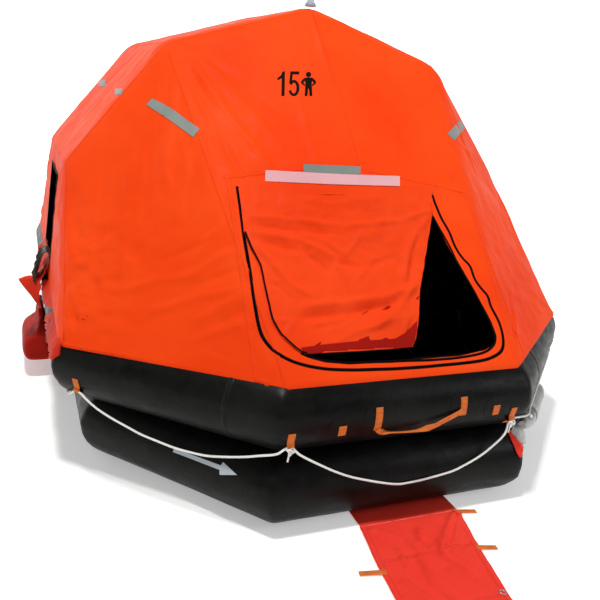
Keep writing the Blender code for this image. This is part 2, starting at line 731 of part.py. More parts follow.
def build_side_pieces(parts):
    """The left port's flap, laid out over the tube, and the red ramp that hangs below it to the floor."""
    lean = (BASE_CORNER[0] - KNEE[0]) / (KNEE[1] - BASE_CORNER[2])
    z = PORT_Z[0]
    x = -(BASE_CORNER[0] - lean * (z - BASE_CORNER[2])) - SIDE_FLAP_SEAT
    hinge = Vector((x, sum(PORT_Y) / 2, z))
    flap = box("flap", (SIDE_FLAP[1], SIDE_FLAP[0], 0.006), (-SIDE_FLAP[1] / 2, 0, 0))
    flap.transform(Matrix.Translation(hinge) @ Matrix.Rotation(SIDE_FLAP_FALL, 4, "Y"))
    put("side_flap", flap, "canopy", parts, hinge)
    top, foot = (Vector((p[0], 0, p[1])) for p in (SIDE_RAMP_TOP, SIDE_RAMP_FOOT))
    along = (foot - top).normalized()
    across = Vector((along.z, 0, -along.x)) * (RAMP_THICK / 2)
    rings = []
    for y in SIDE_RAMP_Y:
        lift = Vector((0, y, 0))
        rings.append([top - across + lift, top + across + lift, foot + across + lift, foot - across + lift])
    put("side_ramp", loft("side_ramp", rings), "ramp", parts)


def build():
    clear_scene()
    parts = collection("life_raft")
    build_tubes(parts)
    build_floor(parts)
    build_arch("arch_front", -1, parts)
    build_arch("arch_rear", 1, parts)
    build_canopy(parts)
    build_doors(parts)
    build_ramp(parts)
    build_lines(parts)
    build_ladder(parts)
    build_handle(parts)
    build_front_patches(parts)
    build_bottle(parts)
    build_lamp(parts)
    build_side_pieces(parts)


build()
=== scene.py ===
"""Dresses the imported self-righting life raft in cloth, rubber, webbing and rope, and lights it.

X runs along the front entry edge, Y from the front entry to the rear one and Z up, in metres.
"""

import math

import bpy
import numpy as np
from mathutils import Matrix, Vector, noise
from mathutils.bvhtree import BVHTree
from mathutils.geometry import delaunay_2d_cdt
from mathutils.kdtree import KDTree


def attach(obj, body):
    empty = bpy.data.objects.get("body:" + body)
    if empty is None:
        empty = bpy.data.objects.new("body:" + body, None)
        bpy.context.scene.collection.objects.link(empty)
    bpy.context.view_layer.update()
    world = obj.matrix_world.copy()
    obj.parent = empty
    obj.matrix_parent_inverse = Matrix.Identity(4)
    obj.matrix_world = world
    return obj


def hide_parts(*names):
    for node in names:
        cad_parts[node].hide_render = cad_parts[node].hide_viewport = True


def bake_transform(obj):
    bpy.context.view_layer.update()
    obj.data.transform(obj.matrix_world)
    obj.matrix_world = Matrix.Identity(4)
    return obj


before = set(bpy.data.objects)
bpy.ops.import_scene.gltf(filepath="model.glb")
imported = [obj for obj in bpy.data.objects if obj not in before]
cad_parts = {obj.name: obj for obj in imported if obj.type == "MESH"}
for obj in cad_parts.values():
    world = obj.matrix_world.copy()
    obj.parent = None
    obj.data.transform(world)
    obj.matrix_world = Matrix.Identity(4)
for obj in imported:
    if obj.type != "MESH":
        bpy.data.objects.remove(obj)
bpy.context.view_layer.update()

# Buoyancy tubes: two stacked rings on an elongated octagon
TUBE_RADIUS = 0.158
UPPER_Z = 3 * TUBE_RADIUS + 0.0004
HEIGHTS = {"lower": TUBE_RADIUS, "upper": UPPER_Z}
PLANS = {"lower": (0.50, 1.895, 1.05, 1.20), "upper": (0.50, 1.89, 1.165, 1.235)}

# Canopy corners: foot at the entry and at the corner, then knee, shoulder and peak of each arch
BASE_ENTRY = (0.52, 1.99, 0.6096)
BASE_CORNER = (1.295, 1.31, 0.5746)
CREASE_Y = 0.637
KNEE = (1.22, 1.25)
SHOULDER = (0.74, 1.838)
PEAK_Z = 2.062
CLOTH = 0.0022
UP = (0, 0, 1)

rng = np.random.default_rng(15)


# Small tools for surfaces, which are arrays of points with lists of faces

def grid_faces(columns, rows, round_columns=False, round_rows=False):
    """Quads between points that are stored row by row."""
    faces = []
    for r in range(rows if round_rows else rows - 1):
        here, there = r * columns, ((r + 1) % rows) * columns
        for c in range(columns if round_columns else columns - 1):
            after = (c + 1) % columns
            faces.append((here + c, here + after, there + after, there + c))
    return faces


def linked(name, data):
    made = bpy.data.objects.new(name, data)
    bpy.context.scene.collection.objects.link(made)
    return made


def unit(vector):
    return vector / np.linalg.norm(vector)


def units(vectors):
    return vectors / np.linalg.norm(vectors, axis=1)[:, None]


def tree_of(points, faces):
    return BVHTree.FromPolygons([tuple(p) for p in points], faces)


def capped_faces(sides, rings):
    """The faces of a tube that is stored ring by ring and closed at both ends."""
    last = (rings - 1) * sides
    return grid_faces(sides, rings, round_columns=True) + [tuple(reversed(range(sides))),
                                                           tuple(range(last, last + sides))]


def make_mesh(name, points, faces):
    mesh = bpy.data.meshes.new(name)
    mesh.from_pydata([tuple(p) for p in points], [], faces)
    mesh.update()
    return mesh


def normals_of(points, faces):
    mesh = make_mesh("measure", points, faces)
    found = np.zeros(len(points) * 3, np.float32)
    mesh.vertex_normals.foreach_get("vector", found)
    bpy.data.meshes.remove(mesh)
    return found.reshape(-1, 3).astype(float)


def facing(points, faces, outwards):
    """The faces, turned round where they look against the given direction on average."""
    normals = normals_of(points, faces)
    outwards = np.broadcast_to(np.asarray(outwards, float), normals.shape)
    if float((normals * outwards).sum()) < 0:
        return [tuple(reversed(face)) for face in faces]
    return faces


def weld(parts, reach=0.0004):
    """Joins surfaces at their common points. Returns points, faces and each face's part number."""
    points = np.vstack([own for own, _ in parts])
    tree = KDTree(len(points))
    for number, place in enumerate(points):
        tree.insert(place, number)
    tree.balance()
    first = np.array([min(found[1] for found in tree.find_range(place, reach)) for place in points])
    kept, index = np.unique(first, return_inverse=True)
    faces, owner, start = [], [], 0
    for number, (own_points, own_faces) in enumerate(parts):
        faces += [tuple(int(index[i + start]) for i in face) for face in own_faces]
        owner += [number] * len(own_faces)
        start += len(own_points)
    return points[kept], faces, np.array(owner)


def edge_counts(faces):
    """Each directed edge that no other face uses the other way round: the surface's border."""
    seen = set()
    for face in faces:
        for a, b in zip(face, face[1:] + face[:1]):
            seen.add((a, b))
    return [(a, b) for a, b in seen if (b, a) not in seen]


def at_edge(points, faces):
    """Which points lie on the surface's border."""
    found = np.zeros(len(points), bool)
    found[[i for edge in edge_counts(faces) for i in edge]] = True
    return found


def thicken(points, faces, thickness, normals=None):
    """A closed thin solid below an open surface. The last value gives 1 for its inner faces."""
    points = np.asarray(points, float)
    if normals is None:
        normals = normals_of(points, faces)
    count = len(points)
    faces = [tuple(face) for face in faces]
    inner = [tuple(i + count for i in reversed(face)) for face in faces]
    rim = [(b, a, a + count, b + count) for a, b in sorted(edge_counts(faces))]
    looks = [0] * len(faces) + [1] * len(inner) + [0] * len(rim)
    return np.vstack([points, points - normals * thickness]), faces + inner + rim, looks


def placed(name, mesh, slot, body="raft", stands_for=()):
    """A mesh as a piece of the raft. One that has no body is left unattached."""
    made = linked(name, mesh)
    if body:
        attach(made, body)
    if stands_for:
        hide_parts(*stands_for)
    return made


def dress(name, points, faces, finishes, slot, body="raft", stands_for=(), looks=None, sharp=50):
    """A finished piece that rides on a body and stands for CAD nodes."""
    mesh = make_mesh(name, points, faces)
    for finish in finishes if isinstance(finishes, (list, tuple)) else [finishes]:
        mesh.materials.append(finish)
    if looks is not None and len(mesh.materials) > 1:
        mesh.polygons.foreach_set("material_index", np.asarray(looks, np.int32))
    mesh.shade_smooth()
    mesh.set_sharp_from_angle(angle=math.radians(sharp))
    return placed(name, mesh, slot, body, stands_for)


def sewn(name, points, faces, finishes, slot, thickness=CLOTH, normals=None, **more):
    """A piece of cloth made from its outer surface. A second finish is its lining."""
    points, faces, looks = thicken(points, faces, thickness, normals)
    return dress(name, points, faces, finishes, slot, looks=looks, **more)


def raised(points, normals, faces, lift):
    """A thin closed shape that stands off the surface that its points lie on."""
    return thicken(points, facing(points, faces, normals), lift * 0.9, normals)[:2]


def inside(points, outline):
    """Which flat points lie inside a closed outline."""
    points, outline = np.asarray(points, float), np.asarray(outline, float)
    found = np.zeros(len(points), bool)
    for (ax, ay), (bx, by) in zip(outline, np.roll(outline, -1, axis=0)):
        if ay == by:
            continue
        crossing = (points[:, 1] < ay) != (points[:, 1] < by)
        at = ax + (points[:, 1] - ay) * (bx - ax) / (by - ay)
        found ^= crossing & (points[:, 0] < at)
    return found


def distance_to_line(points, line):
    """The distance of each point to a line of straight runs, in any number of dimensions."""
    points, line = np.asarray(points, float), np.asarray(line, float)
    nearest = np.full(len(points), 1e9)
    for a, b in zip(line[:-1], line[1:]):
        run = b - a
        share = np.clip(((points - a) @ run) / max(float(run @ run), 1e-12), 0, 1)
        nearest = np.minimum(nearest, np.linalg.norm(points - (a + share[:, None] * run), axis=1))
    return nearest


def spaced(line, step, closed=False):
    """The line with its points set at about an even step, its corners kept."""
    line = [np.asarray(p, float) for p in line]
    if closed:
        line.append(line[0])
    made = []
    for a, b in zip(line[:-1], line[1:]):
        count = max(1, int(round(np.linalg.norm(b - a) / step)))
        made += [a + (b - a) * k / count for k in range(count)]
    if not closed:
        made.append(line[-1])
    return np.array(made)


def smooth_line(line, steps=8, closed=False):
    """A curve through the points."""
    line = [np.asarray(p, float) for p in line]
    count = len(line)
    made = []
    for i in range(count if closed else count - 1):
        if closed:
            p0, p1, p2, p3 = (line[(i + k) % count] for k in (-1, 0, 1, 2))
        else:
            p0, p1, p2, p3 = (line[min(max(i + k, 0), count - 1)] for k in (-1, 0, 1, 2))
        for step in range(steps):
            t = step / steps
            made.append(0.5 * ((2 * p1) + (p2 - p0) * t + (2 * p0 - 5 * p1 + 4 * p2 - p3) * t ** 2
                               + (3 * p1 - p0 - 3 * p2 + p3) * t ** 3))
    if not closed:
        made.append(line[-1])
    return np.array(made)


def triangles_in(border, inner, hole=None):
    """Triangles over flat points: a closed border, points inside it, and an open hole."""
    points = [Vector(p) for p in border]
    count = len(points)
    edges = [(i, (i + 1) % count) for i in range(count)]
    if hole is not None:
        start = len(points)
        points += [Vector(p) for p in hole]
        edges += [(start + i, start + (i + 1) % len(hole)) for i in range(len(hole))]
    points += [Vector(p) for p in inner]
    made, _, faces, _, _, _ = delaunay_2d_cdt(points, edges, [], 0, 1e-7)
    made = np.array([tuple(p) for p in made])
    middles = np.array([made[list(face)].mean(axis=0) for face in faces])
    keep = inside(middles, border)
    if hole is not None:
        keep &= ~inside(middles, hole)
    return made, [tuple(face) for face, kept in zip(faces, keep) if kept]


def filled(outline, step):
    """A flat outline filled with an even net of triangles."""
    border = spaced(outline, step, closed=True)
    low, high = border.min(axis=0), border.max(axis=0)
    net = []
    for r, y in enumerate(np.arange(low[1], high[1], step * 0.866)):
        shift = step / 2 if r % 2 else 0
        net += [(x, y) for x in np.arange(low[0] + shift, high[0], step)]
    net = np.array(net) if net else np.zeros((0, 2))
    if len(net):
        clear = distance_to_line(net, np.vstack([border, border[:1]])) > step * 0.55
        net = net[inside(net, border) & clear]
    return triangles_in(border, net)


# Materials

def new_material(name, colour, roughness, **more):
    made = bpy.data.materials.new(name)
    made.use_nodes = True
    shader = made.node_tree.nodes["Principled BSDF"]
    shader.inputs["Base Color"].default_value = (*colour, 1)
    shader.inputs["Roughness"].default_value = roughness
    for socket, value in more.items():
        shader.inputs[socket.replace("_", " ")].default_value = value
    return made


def node(material, kind, **values):
    made = material.node_tree.nodes.new(kind)
    for key, value in values.items():
        if key in made.inputs:
            made.inputs[key].default_value = value
        else:
            setattr(made, key, value)
    return made


def join(material, start, end):
    material.node_tree.links.new(start, end)


def places(material, scale=(1, 1, 1), turn=(0, 0, 0)):
    """Object coordinates, turned and stretched for one pattern."""
    coordinates = node(material, "ShaderNodeTexCoord")
    mapping = node(material, "ShaderNodeMapping", Scale=scale, Rotation=turn)
    join(material, coordinates.outputs["Object"], mapping.inputs["Vector"])
    return mapping.outputs["Vector"]


def cloud(material, size, detail=4.0, roughness=0.55, stretch=(1, 1, 1)):
    """A soft random pattern whose blotches are about the given size in metres."""
    pattern = node(material, "ShaderNodeTexNoise", Scale=1 / size, Detail=detail, Roughness=roughness)
    join(material, places(material, stretch), pattern.inputs["Vector"])
    return pattern.outputs["Fac"]


def ramp(material, value, stops):
    made = node(material, "ShaderNodeValToRGB")
    elements = made.color_ramp.elements
    while len(elements) < len(stops):
        elements.new(0.5)
    for element, (place, colour) in zip(elements, stops):
        element.position = place
        element.color = (*colour, 1) if len(colour) == 3 else colour
    join(material, value, made.inputs["Fac"])
    return made.outputs["Color"]


def grey_ramp(material, value, low, high, start=0.3, end=0.7):
    return ramp(material, value, ((start, (low,) * 3), (end, (high,) * 3)))


def blend_colours(material, share, first, second, mode="MIX"):
    made = node(material, "ShaderNodeMix", data_type="RGBA", blend_type=mode)
    for socket, value in (("Factor", share), (6, first), (7, second)):
        target = made.inputs[socket]
        if isinstance(value, (int, float)):
            target.default_value = value
        elif isinstance(value, tuple):
            target.default_value = (*value, 1)
        else:
            join(material, value, target)
    return made.outputs[2]


def bump(material, heights):
    """Bumps one over the other: (height, depth in metres, strength)."""
    normal = None
    for height, distance, strength in heights:
        made = node(material, "ShaderNodeBump", Strength=strength, Distance=distance)
        join(material, height, made.inputs["Height"])
        if normal is not None:
            join(material, normal, made.inputs["Normal"])
        normal = made.outputs["Normal"]
    shader = material.node_tree.nodes["Principled BSDF"]
    join(material, normal, shader.inputs["Normal"])


def shade(material, colour=None, roughness=None):
    shader = material.node_tree.nodes["Principled BSDF"]
    if colour is not None:
        join(material, colour, shader.inputs["Base Color"])
    if roughness is not None:
        join(material, roughness, shader.inputs["Roughness"])


def weave(material, pitch, turn=(0, 0, 0)):
    """Over-and-under threads as two crossed waves, each thread a pitch wide."""
    heights = []
    for direction in ("X", "Y", "Z"):
        wave = node(material, "ShaderNodeTexWave", wave_type="BANDS", bands_direction=direction,
                    Scale=math.tau / pitch / 20)
        join(material, places(material, turn=turn), wave.inputs["Vector"])
        heights.append(wave.outputs["Fac"])
    first = blend_colours(material, 0.5, heights[0], heights[1])
    return blend_colours(material, 0.34, first, heights[2])


def coated_cloth(name, colour, dark, light, roughness=0.46, crinkle=0.0030):
    """Thin coated cloth: blotches of colour, fine crinkles and a faint weave."""
    made = new_material(name, colour, roughness, Sheen_Roughness=0.45, Specular_IOR_Level=0.020)
    blotches = cloud(made, 0.55, detail=3)
    base = ramp(made, blotches, ((0.30, dark), (0.55, colour), (0.78, light)))
    fine = cloud(made, 0.035, detail=5, roughness=0.6)
    shade(made, blend_colours(made, grey_ramp(made, fine, 0.0, 0.10), base, dark),
          grey_ramp(made, cloud(made, 0.12), roughness - 0.07, roughness + 0.10))
    bump(made, ((cloud(made, 0.075, detail=4, roughness=0.5, stretch=(1, 1, 0.45)), crinkle, 0.55),
                (fine, crinkle * 0.3, 0.45), (weave(made, 0.0016), 0.00008, 0.35)))
    return made


def rubbered_cloth(name, colour, roughness=0.42):
    """Black rubbered cloth: soft gloss, broken by dust, rubbed places and fine wrinkles."""
    made = new_material(name, colour, roughness, Specular_IOR_Level=0.11)
    dust = cloud(made, 0.30, detail=7, roughness=0.68)
    grime = ramp(made, dust, ((0.42, colour), (0.72, tuple(v * 2.1 + 0.004 for v in colour))))
    streaks = cloud(made, 0.05, detail=6, roughness=0.7, stretch=(0.5, 0.5, 1.4))
    shade(made, blend_colours(made, grey_ramp(made, streaks, 0.0, 0.35, 0.45, 0.8), grime,
                              tuple(v * 1.6 + 0.003 for v in colour)),
          grey_ramp(made, streaks, roughness - 0.10, roughness + 0.16))
    bump(made, ((cloud(made, 0.045, detail=5, roughness=0.6), 0.0030, 0.6),
                (cloud(made, 0.008, detail=3), 0.0004, 0.35), (weave(made, 0.0022), 0.0001, 0.3)))
    return made


def webbing_cloth(name, colour, dark, pitch=0.0030, gloss=0.15, sheen=0.05):
    """Woven strap: ribs across it and darker threads between them."""
    made = new_material(name, colour, 0.62, Sheen_Weight=sheen, Sheen_Roughness=0.5, Specular_IOR_Level=gloss)
    threads = weave(made, pitch)
    blotch = cloud(made, 0.02, detail=4)
    mixed = blend_colours(made, grey_ramp(made, threads, 0.55, 0.0, 0.25, 0.6), colour, dark)
    shade(made, blend_colours(made, grey_ramp(made, blotch, 0.0, 0.3, 0.4, 0.75), mixed, dark))
    bump(made, ((threads, 0.0006, 0.8),))
    return made


ORANGE = (0.930, 0.067, 0.0080)
canopy_cloth = coated_cloth("canopy cloth", ORANGE, (0.86, 0.050, 0.006), (0.95, 0.082, 0.012))
canopy_lining = coated_cloth("canopy lining", (0.020, 0.012, 0.012), (0.014, 0.009, 0.009),
                             (0.030, 0.016, 0.015), roughness=0.6)
flap_cloth = coated_cloth("flap cloth", (0.900, 0.066, 0.012), (0.84, 0.050, 0.008), (0.94, 0.084, 0.016))
flap_band_cloth = coated_cloth("flap band cloth", (0.36, 0.010, 0.006), (0.30, 0.008, 0.005),
                               (0.44, 0.014, 0.008))
ramp_cloth = coated_cloth("ramp cloth", (0.92, 0.056, 0.036), (0.86, 0.044, 0.028), (0.95, 0.072, 0.044))
tube_rubber = rubbered_cloth("tube rubber", (0.0030, 0.0030, 0.0027), roughness=0.36)
patch_rubber = rubbered_cloth("patch rubber", (0.0040, 0.0040, 0.0036), roughness=0.42)
floor_rubber = rubbered_cloth("floor rubber", (0.010, 0.010, 0.011), roughness=0.5)
pocket_cloth = rubbered_cloth("pocket cloth", (0.018, 0.018, 0.020), roughness=0.6)
webbing = webbing_cloth("orange webbing", (0.80, 0.20, 0.035), (0.42, 0.085, 0.012))
zip_cloth = webbing_cloth("zip cloth", (0.0025, 0.0025, 0.003), (0.006, 0.006, 0.007), pitch=0.0018,
                          gloss=0.03, sheen=0.0)
grey_tape = coated_cloth("grey tape", (0.25, 0.28, 0.26), (0.19, 0.22, 0.205), (0.31, 0.34, 0.32),
                         roughness=0.34, crinkle=0.0006)
band_tape = coated_cloth("pale tape", (0.78, 0.43, 0.46), (0.70, 0.37, 0.40), (0.84, 0.50, 0.53),
                         roughness=0.4, crinkle=0.0006)
print_ink = coated_cloth("printed ink", (0.006, 0.005, 0.005), (0.004, 0.004, 0.004),
                         (0.012, 0.010, 0.010), roughness=0.5)
arrow_ink = coated_cloth("pale ink", (0.58, 0.64, 0.68), (0.50, 0.56, 0.60), (0.66, 0.72, 0.76),
                         roughness=0.45)
rope_fibre = webbing_cloth("white rope", (0.97, 0.97, 0.95), (0.80, 0.79, 0.75), pitch=0.0016)
pouch_cloth = coated_cloth("dark red cloth", (0.34, 0.012, 0.007), (0.20, 0.007, 0.004),
                           (0.50, 0.022, 0.012), crinkle=0.005)
drape_cloth = coated_cloth("creased red cloth", (0.66, 0.040, 0.018), (0.42, 0.018, 0.008),
                           (0.84, 0.070, 0.030),
                           crinkle=0.006)
# Rope of the inner line: darkened and tinted red as painted shade from inside the canopy
shaded_inner_rope = webbing_cloth("inner rope in painted shade", (0.16, 0.070, 0.065), (0.09, 0.04, 0.04), pitch=0.0016)
silver_cloth = coated_cloth("silver cloth", (0.52, 0.53, 0.50), (0.32, 0.33, 0.31), (0.72, 0.73, 0.70),
                            roughness=0.32,
                            crinkle=0.003)
glossy_cloth = coated_cloth("dark glossy cloth", (0.045, 0.045, 0.036), (0.015, 0.015, 0.012),
                            (0.16, 0.16, 0.14),
                            roughness=0.22, crinkle=0.004)
red_thread = new_material("red thread", (0.55, 0.03, 0.015), 0.6)
dark_thread = new_material("dark red thread", (0.30, 0.012, 0.008), 0.6)


def scratched_metal():
    made = new_material("grey painted steel", (0.42, 0.43, 0.44), 0.38, Metallic=0.75)
    marks = cloud(made, 0.01, detail=6, roughness=0.7, stretch=(1, 1, 4))
    shade(made, grey_ramp(made, marks, 0.34, 0.50), grey_ramp(made, marks, 0.30, 0.48))
    bump(made, ((cloud(made, 0.004, detail=3), 0.0002, 0.3),))
    return made


def moulded_plastic(name, colour, roughness, **more):
    made = new_material(name, colour, roughness, **more)
    specks = cloud(made, 0.003, detail=3)
    shade(made, blend_colours(made, grey_ramp(made, specks, 0.0, 0.16), colour,
                              tuple(v * 0.7 for v in colour)))
    bump(made, ((specks, 0.0001, 0.25),))
    return made


grey_metal = scratched_metal()
lamp_plastic = moulded_plastic("lamp base plastic", (0.30, 0.34, 0.38), 0.45)
lamp_lens = moulded_plastic("lamp lens", (0.48, 0.56, 0.66), 0.12, Coat_Weight=0.5, Coat_Roughness=0.08)


# Camera, floor and soft studio light

CAMERA_PLACE = Vector((-1.4081, -4.2215, 1.6957))
HEADING, PITCH, ROLL = (math.radians(v) for v in (22.134, 17.159, 4.211))
FOCAL_PIXELS, FRAME_PIXELS, SENSOR = 706.66, 600, 36.0


def camera_axes():
    """The camera's right, up and forward directions."""
    forward = Vector((math.sin(HEADING) * math.cos(PITCH), math.cos(HEADING) * math.cos(PITCH),
                      -math.sin(PITCH)))
    level = Vector((math.cos(HEADING), -math.sin(HEADING), 0))
    upright = level.cross(forward)
    right = level * math.cos(ROLL) + upright * math.sin(ROLL)
    up = upright * math.cos(ROLL) - level * math.sin(ROLL)
    return right, up, forward


def camera():
    right, up, forward = camera_axes()
    data = bpy.data.cameras.new("camera")
    data.sensor_width = SENSOR
    data.lens = FOCAL_PIXELS / FRAME_PIXELS * SENSOR
    made = linked("camera", data)
    made.matrix_world = Matrix.Translation(CAMERA_PLACE) @ Matrix((right, up, -forward)).transposed().to_4x4()
    bpy.context.scene.camera = made


def soft_light(name, place, target, size, power, colour):
    data = bpy.data.lights.new(name, "AREA")
    data.shape = "RECTANGLE"
    data.size, data.size_y = size
    data.energy, data.color = power, colour
    made = linked(name, data)
    made.location = place
    made.rotation_euler = (Vector(target) - Vector(place)).to_track_quat("-Z", "Y").to_euler()


def studio():
    """A soft grey surround, a pale paper sweep under and behind the raft, a high key light and a fill."""
    world = bpy.data.worlds.new("studio")
    world.use_nodes = True
    background = world.node_tree.nodes["Background"]
    background.inputs["Color"].default_value = (0.97, 0.985, 1.0, 1)
    background.inputs["Strength"].default_value = 0.24
    bpy.context.scene.world = world
    bpy.context.scene.view_settings.view_transform = "Standard"
    soft_light("key", (-1.7, -2.3, 9.1), (0.0, -0.6, 0.8), (0.9, 0.9), 555, (1.0, 0.98, 0.95))
    soft_light("fill", (5.0, -5.5, 3.5), (0.2, -0.5, 0.9), (3.0, 2.5), 105, (0.96, 0.98, 1.0))
    profile = [(-16.0, 0.0), (7.0, 0.0)] + [(7.0 + 6.0 * math.sin(a), 6.0 * (1 - math.cos(a)))
                                            for a in np.linspace(0.05, math.pi / 2, 24)] + [(13.0, 14.0)]
    points = [(x, y, z) for y, z in profile for x in (-26.0, 26.0)]
    sweep_mesh = make_mesh("floor", points, facing(np.array(points), grid_faces(2, len(profile)),
                                                   (0, -0.5, 1)))
    pale = new_material("pale floor", (0.90, 0.90, 0.89), 0.85, Specular_IOR_Level=0.05)
    parts = node(pale, "ShaderNodeSeparateXYZ")
    join(pale, places(pale, (0.1, 0.1, 0.1)), parts.inputs[0])
    glow = ramp(pale, parts.outputs["Y"], ((0.22, (0.36,) * 3), (0.75, (0.95,) * 3)))
    shader = pale.node_tree.nodes["Principled BSDF"]
    join(pale, glow, shader.inputs["Emission Color"])
    shader.inputs["Emission Strength"].default_value = 1.0
    bump(pale, ((cloud(pale, 0.02), 0.0003, 0.2),))
    sweep_mesh.materials.append(pale)
    sweep_mesh.shade_smooth()
    linked("floor", sweep_mesh)


camera()
studio()


# Canopy: its flat net first, then soft arches, folds and thickness

def canopy_corners(side, end):
    """The canopy's named corners for a side (-1 left, 1 right) and an end (-1 front, 1 rear)."""
    return {
        "entry": np.array((side * BASE_ENTRY[0], end * BASE_ENTRY[1], BASE_ENTRY[2])),
        "corner": np.array((side * BASE_CORNER[0], end * BASE_CORNER[1], BASE_CORNER[2])),
        "knee": np.array((side * KNEE[0], end * CREASE_Y, KNEE[1])),
        "shoulder": np.array((side * SHOULDER[0], end * CREASE_Y, SHOULDER[1])),
        "peak": np.array((0.0, end * CREASE_Y, PEAK_Z)),
    }


def sheet_point(across, up, end):
    """A point of the front or rear sheet: from -1 to 1 across it, and up from 0 at its foot to 1."""
    head_z = PEAK_Z + (SHOULDER[1] - PEAK_Z) * abs(across)
    foot = np.array((BASE_ENTRY[0] * across, end * BASE_ENTRY[1], BASE_ENTRY[2]))
    head = np.array((SHOULDER[0] * across, end * CREASE_Y, head_z))
    return foot + (head - foot) * up


def sheet_half(up):
    return BASE_ENTRY[0] + (SHOULDER[0] - BASE_ENTRY[0]) * up


def on_sheet(x, up, end):
    """A point of the sheet at a real distance x from the middle."""
    return sheet_point(x / sheet_half(up), up, end)


def sheet_normal(end):
    return unit(np.array((0, end * (PEAK_Z - BASE_ENTRY[2]), BASE_ENTRY[1] - CREASE_Y)))


def quad_point(foot_start, foot_end, head_start, head_end, across, up):
    foot = foot_start + (foot_end - foot_start) * across
    head = head_start + (head_end - head_start) * across
    return foot + (head - foot) * up


SHEET_HIGH = float(np.linalg.norm(sheet_point(0, 1, -1) - sheet_point(0, 0, -1)))
SHEET_WIDE = 1.26
# How finely the canopy is netted: the end sheets' columns and rows, a corner's columns and the length's
END_COLUMNS, END_ROWS, CORNER_COLUMNS, LENGTH_COLUMNS = 108, 140, 50, 70

# Entrances as (x, share of the sheet's height). The front one is open at its right.
FRONT_OPENING = ((-0.520, 0.492), (-0.530, 0.370), (-0.520, 0.260), (-0.510, 0.181), (-0.486, 0.122),
                 (-0.442, 0.080),
                 (-0.395, 0.060), (-0.350, 0.051), (-0.257, 0.042), (-0.068, 0.036), (0.106, 0.036),
                 (0.254, 0.037),
                 (0.380, 0.047), (0.440, 0.060), (0.462, 0.081), (0.462, 0.120), (0.444, 0.179),
                 (0.384, 0.308),
                 (0.348, 0.401), (0.366, 0.440), (0.378, 0.482), (0.300, 0.470), (0.150, 0.449),
                 (0.000, 0.430),
                 (-0.200, 0.450), (-0.400, 0.476))
REAR_OPENING = ((-0.480, 0.4998), (-0.490, 0.120), (-0.460, 0.055), (-0.380, 0.037), (0.380, 0.037),
                (0.460, 0.055),
                (0.490, 0.120), (0.480, 0.4998))
# The port's corners in the left wall as (y, z)
PORT = ((-0.30, 0.68), (0.26, 0.68), (0.26, 1.14), (-0.30, 1.14))


def netted(width, height, columns, rows, hole):
    """A flat net over a rectangle around x = 0 with a hole in it, its border points evenly spaced."""
    border = [(-width / 2 + width * c / columns, 0.0) for c in range(columns)]
    border += [(width / 2, height * r / rows) for r in range(rows)]
    border += [(width / 2 - width * c / columns, height) for c in range(columns)]
    border += [(-width / 2, height - height * r / rows) for r in range(rows)]
    hole = spaced(hole, 0.011, closed=True)
    inner = np.array([(-width / 2 + width * c / columns, height * r / rows)
                      for r in range(1, rows) for c in range(1, columns)])
    clear = distance_to_line(inner, np.vstack([hole, hole[:1]])) > 0.5 * min(width / columns, height / rows)
    return triangles_in(border, inner[clear & ~inside(inner, hole)], hole)


def end_sheet(end):
    hole = [(x / sheet_half(up) * SHEET_WIDE / 2, up * SHEET_HIGH)
            for x, up in (FRONT_OPENING if end < 0 else REAR_OPENING)]
    flat, faces = netted(SHEET_WIDE, SHEET_HIGH, END_COLUMNS, END_ROWS, hole)
    return np.array([sheet_point(x / (SHEET_WIDE / 2), y / SHEET_HIGH, end) for x, y in flat]), faces


def quad_sheet(corners, columns, rows):
    points = [quad_point(*corners, c / columns, r / rows) for r in range(rows + 1)
              for c in range(columns + 1)]
    return np.array(points), grid_faces(columns + 1, rows + 1)


def wall_sheet(side):
    front, rear = canopy_corners(side, -1), canopy_corners(side, 1)
    corners = (front["corner"], rear["corner"], front["knee"], rear["knee"])
    if side > 0:
        return quad_sheet(corners, LENGTH_COLUMNS, END_ROWS)
    width, height = 2.0, 0.7
    hole = []
    for y, z in PORT:
        up = (z - BASE_CORNER[2]) / (KNEE[1] - BASE_CORNER[2])
        reach = BASE_CORNER[1] + (CREASE_Y - BASE_CORNER[1]) * up
        hole.append((y / reach * width / 2, up * height))
    flat, faces = netted(width, height, LENGTH_COLUMNS, END_ROWS, hole)
    return np.array([quad_point(*corners, x / width + 0.5, y / height) for x, y in flat]), faces


def core_direction(points):
    """Directions away from the raft's core, a short line along its length."""
    core = np.column_stack([np.zeros(len(points)), np.clip(points[:, 1], -0.45, 0.45),
                            np.full(len(points), 0.75)])
    return units(points - core)


def canopy_net():
    """Every flat part of the canopy, each with its cloth's number: front 0, rear 1, middle 2."""
    parts, groups = [], []

    def add(group, points, faces):
        parts.append((points, facing(points, faces, core_direction(points))))
        groups.append(group)

    for end, group in ((-1, 0), (1, 1)):
        add(group, *end_sheet(end))
        for side in (-1, 1):
            at = canopy_corners(side, end)
            add(group, *quad_sheet((at["entry"], at["corner"], at["shoulder"], at["knee"]), CORNER_COLUMNS,
                                   END_ROWS))
    for side in (-1, 1):
        front, rear = canopy_corners(side, -1), canopy_corners(side, 1)
        add(2, *wall_sheet(side))
        for low, high, rows in (("knee", "shoulder", CORNER_COLUMNS), ("shoulder", "peak", END_COLUMNS // 2)):
            add(2, *quad_sheet((front[low], rear[low], front[high], rear[high]), LENGTH_COLUMNS, rows))
    return parts, groups


def relax(points, faces, weight, rounds):
    """Evens the surface where the weight is above zero, which rounds the cloth over the arches."""
    pairs = np.array(sorted({(min(a, b), max(a, b)) for face in faces for a,
                             b in zip(face, face[1:] + face[:1])}))
    degree = np.bincount(pairs.ravel(), minlength=len(points)).astype(float)
    for _ in range(rounds):
        total = np.zeros_like(points)
        np.add.at(total, pairs[:, 0], points[pairs[:, 1]])
        np.add.at(total, pairs[:, 1], points[pairs[:, 0]])
        points = points + weight[:, None] * (total / degree[:, None] - points)
    return points


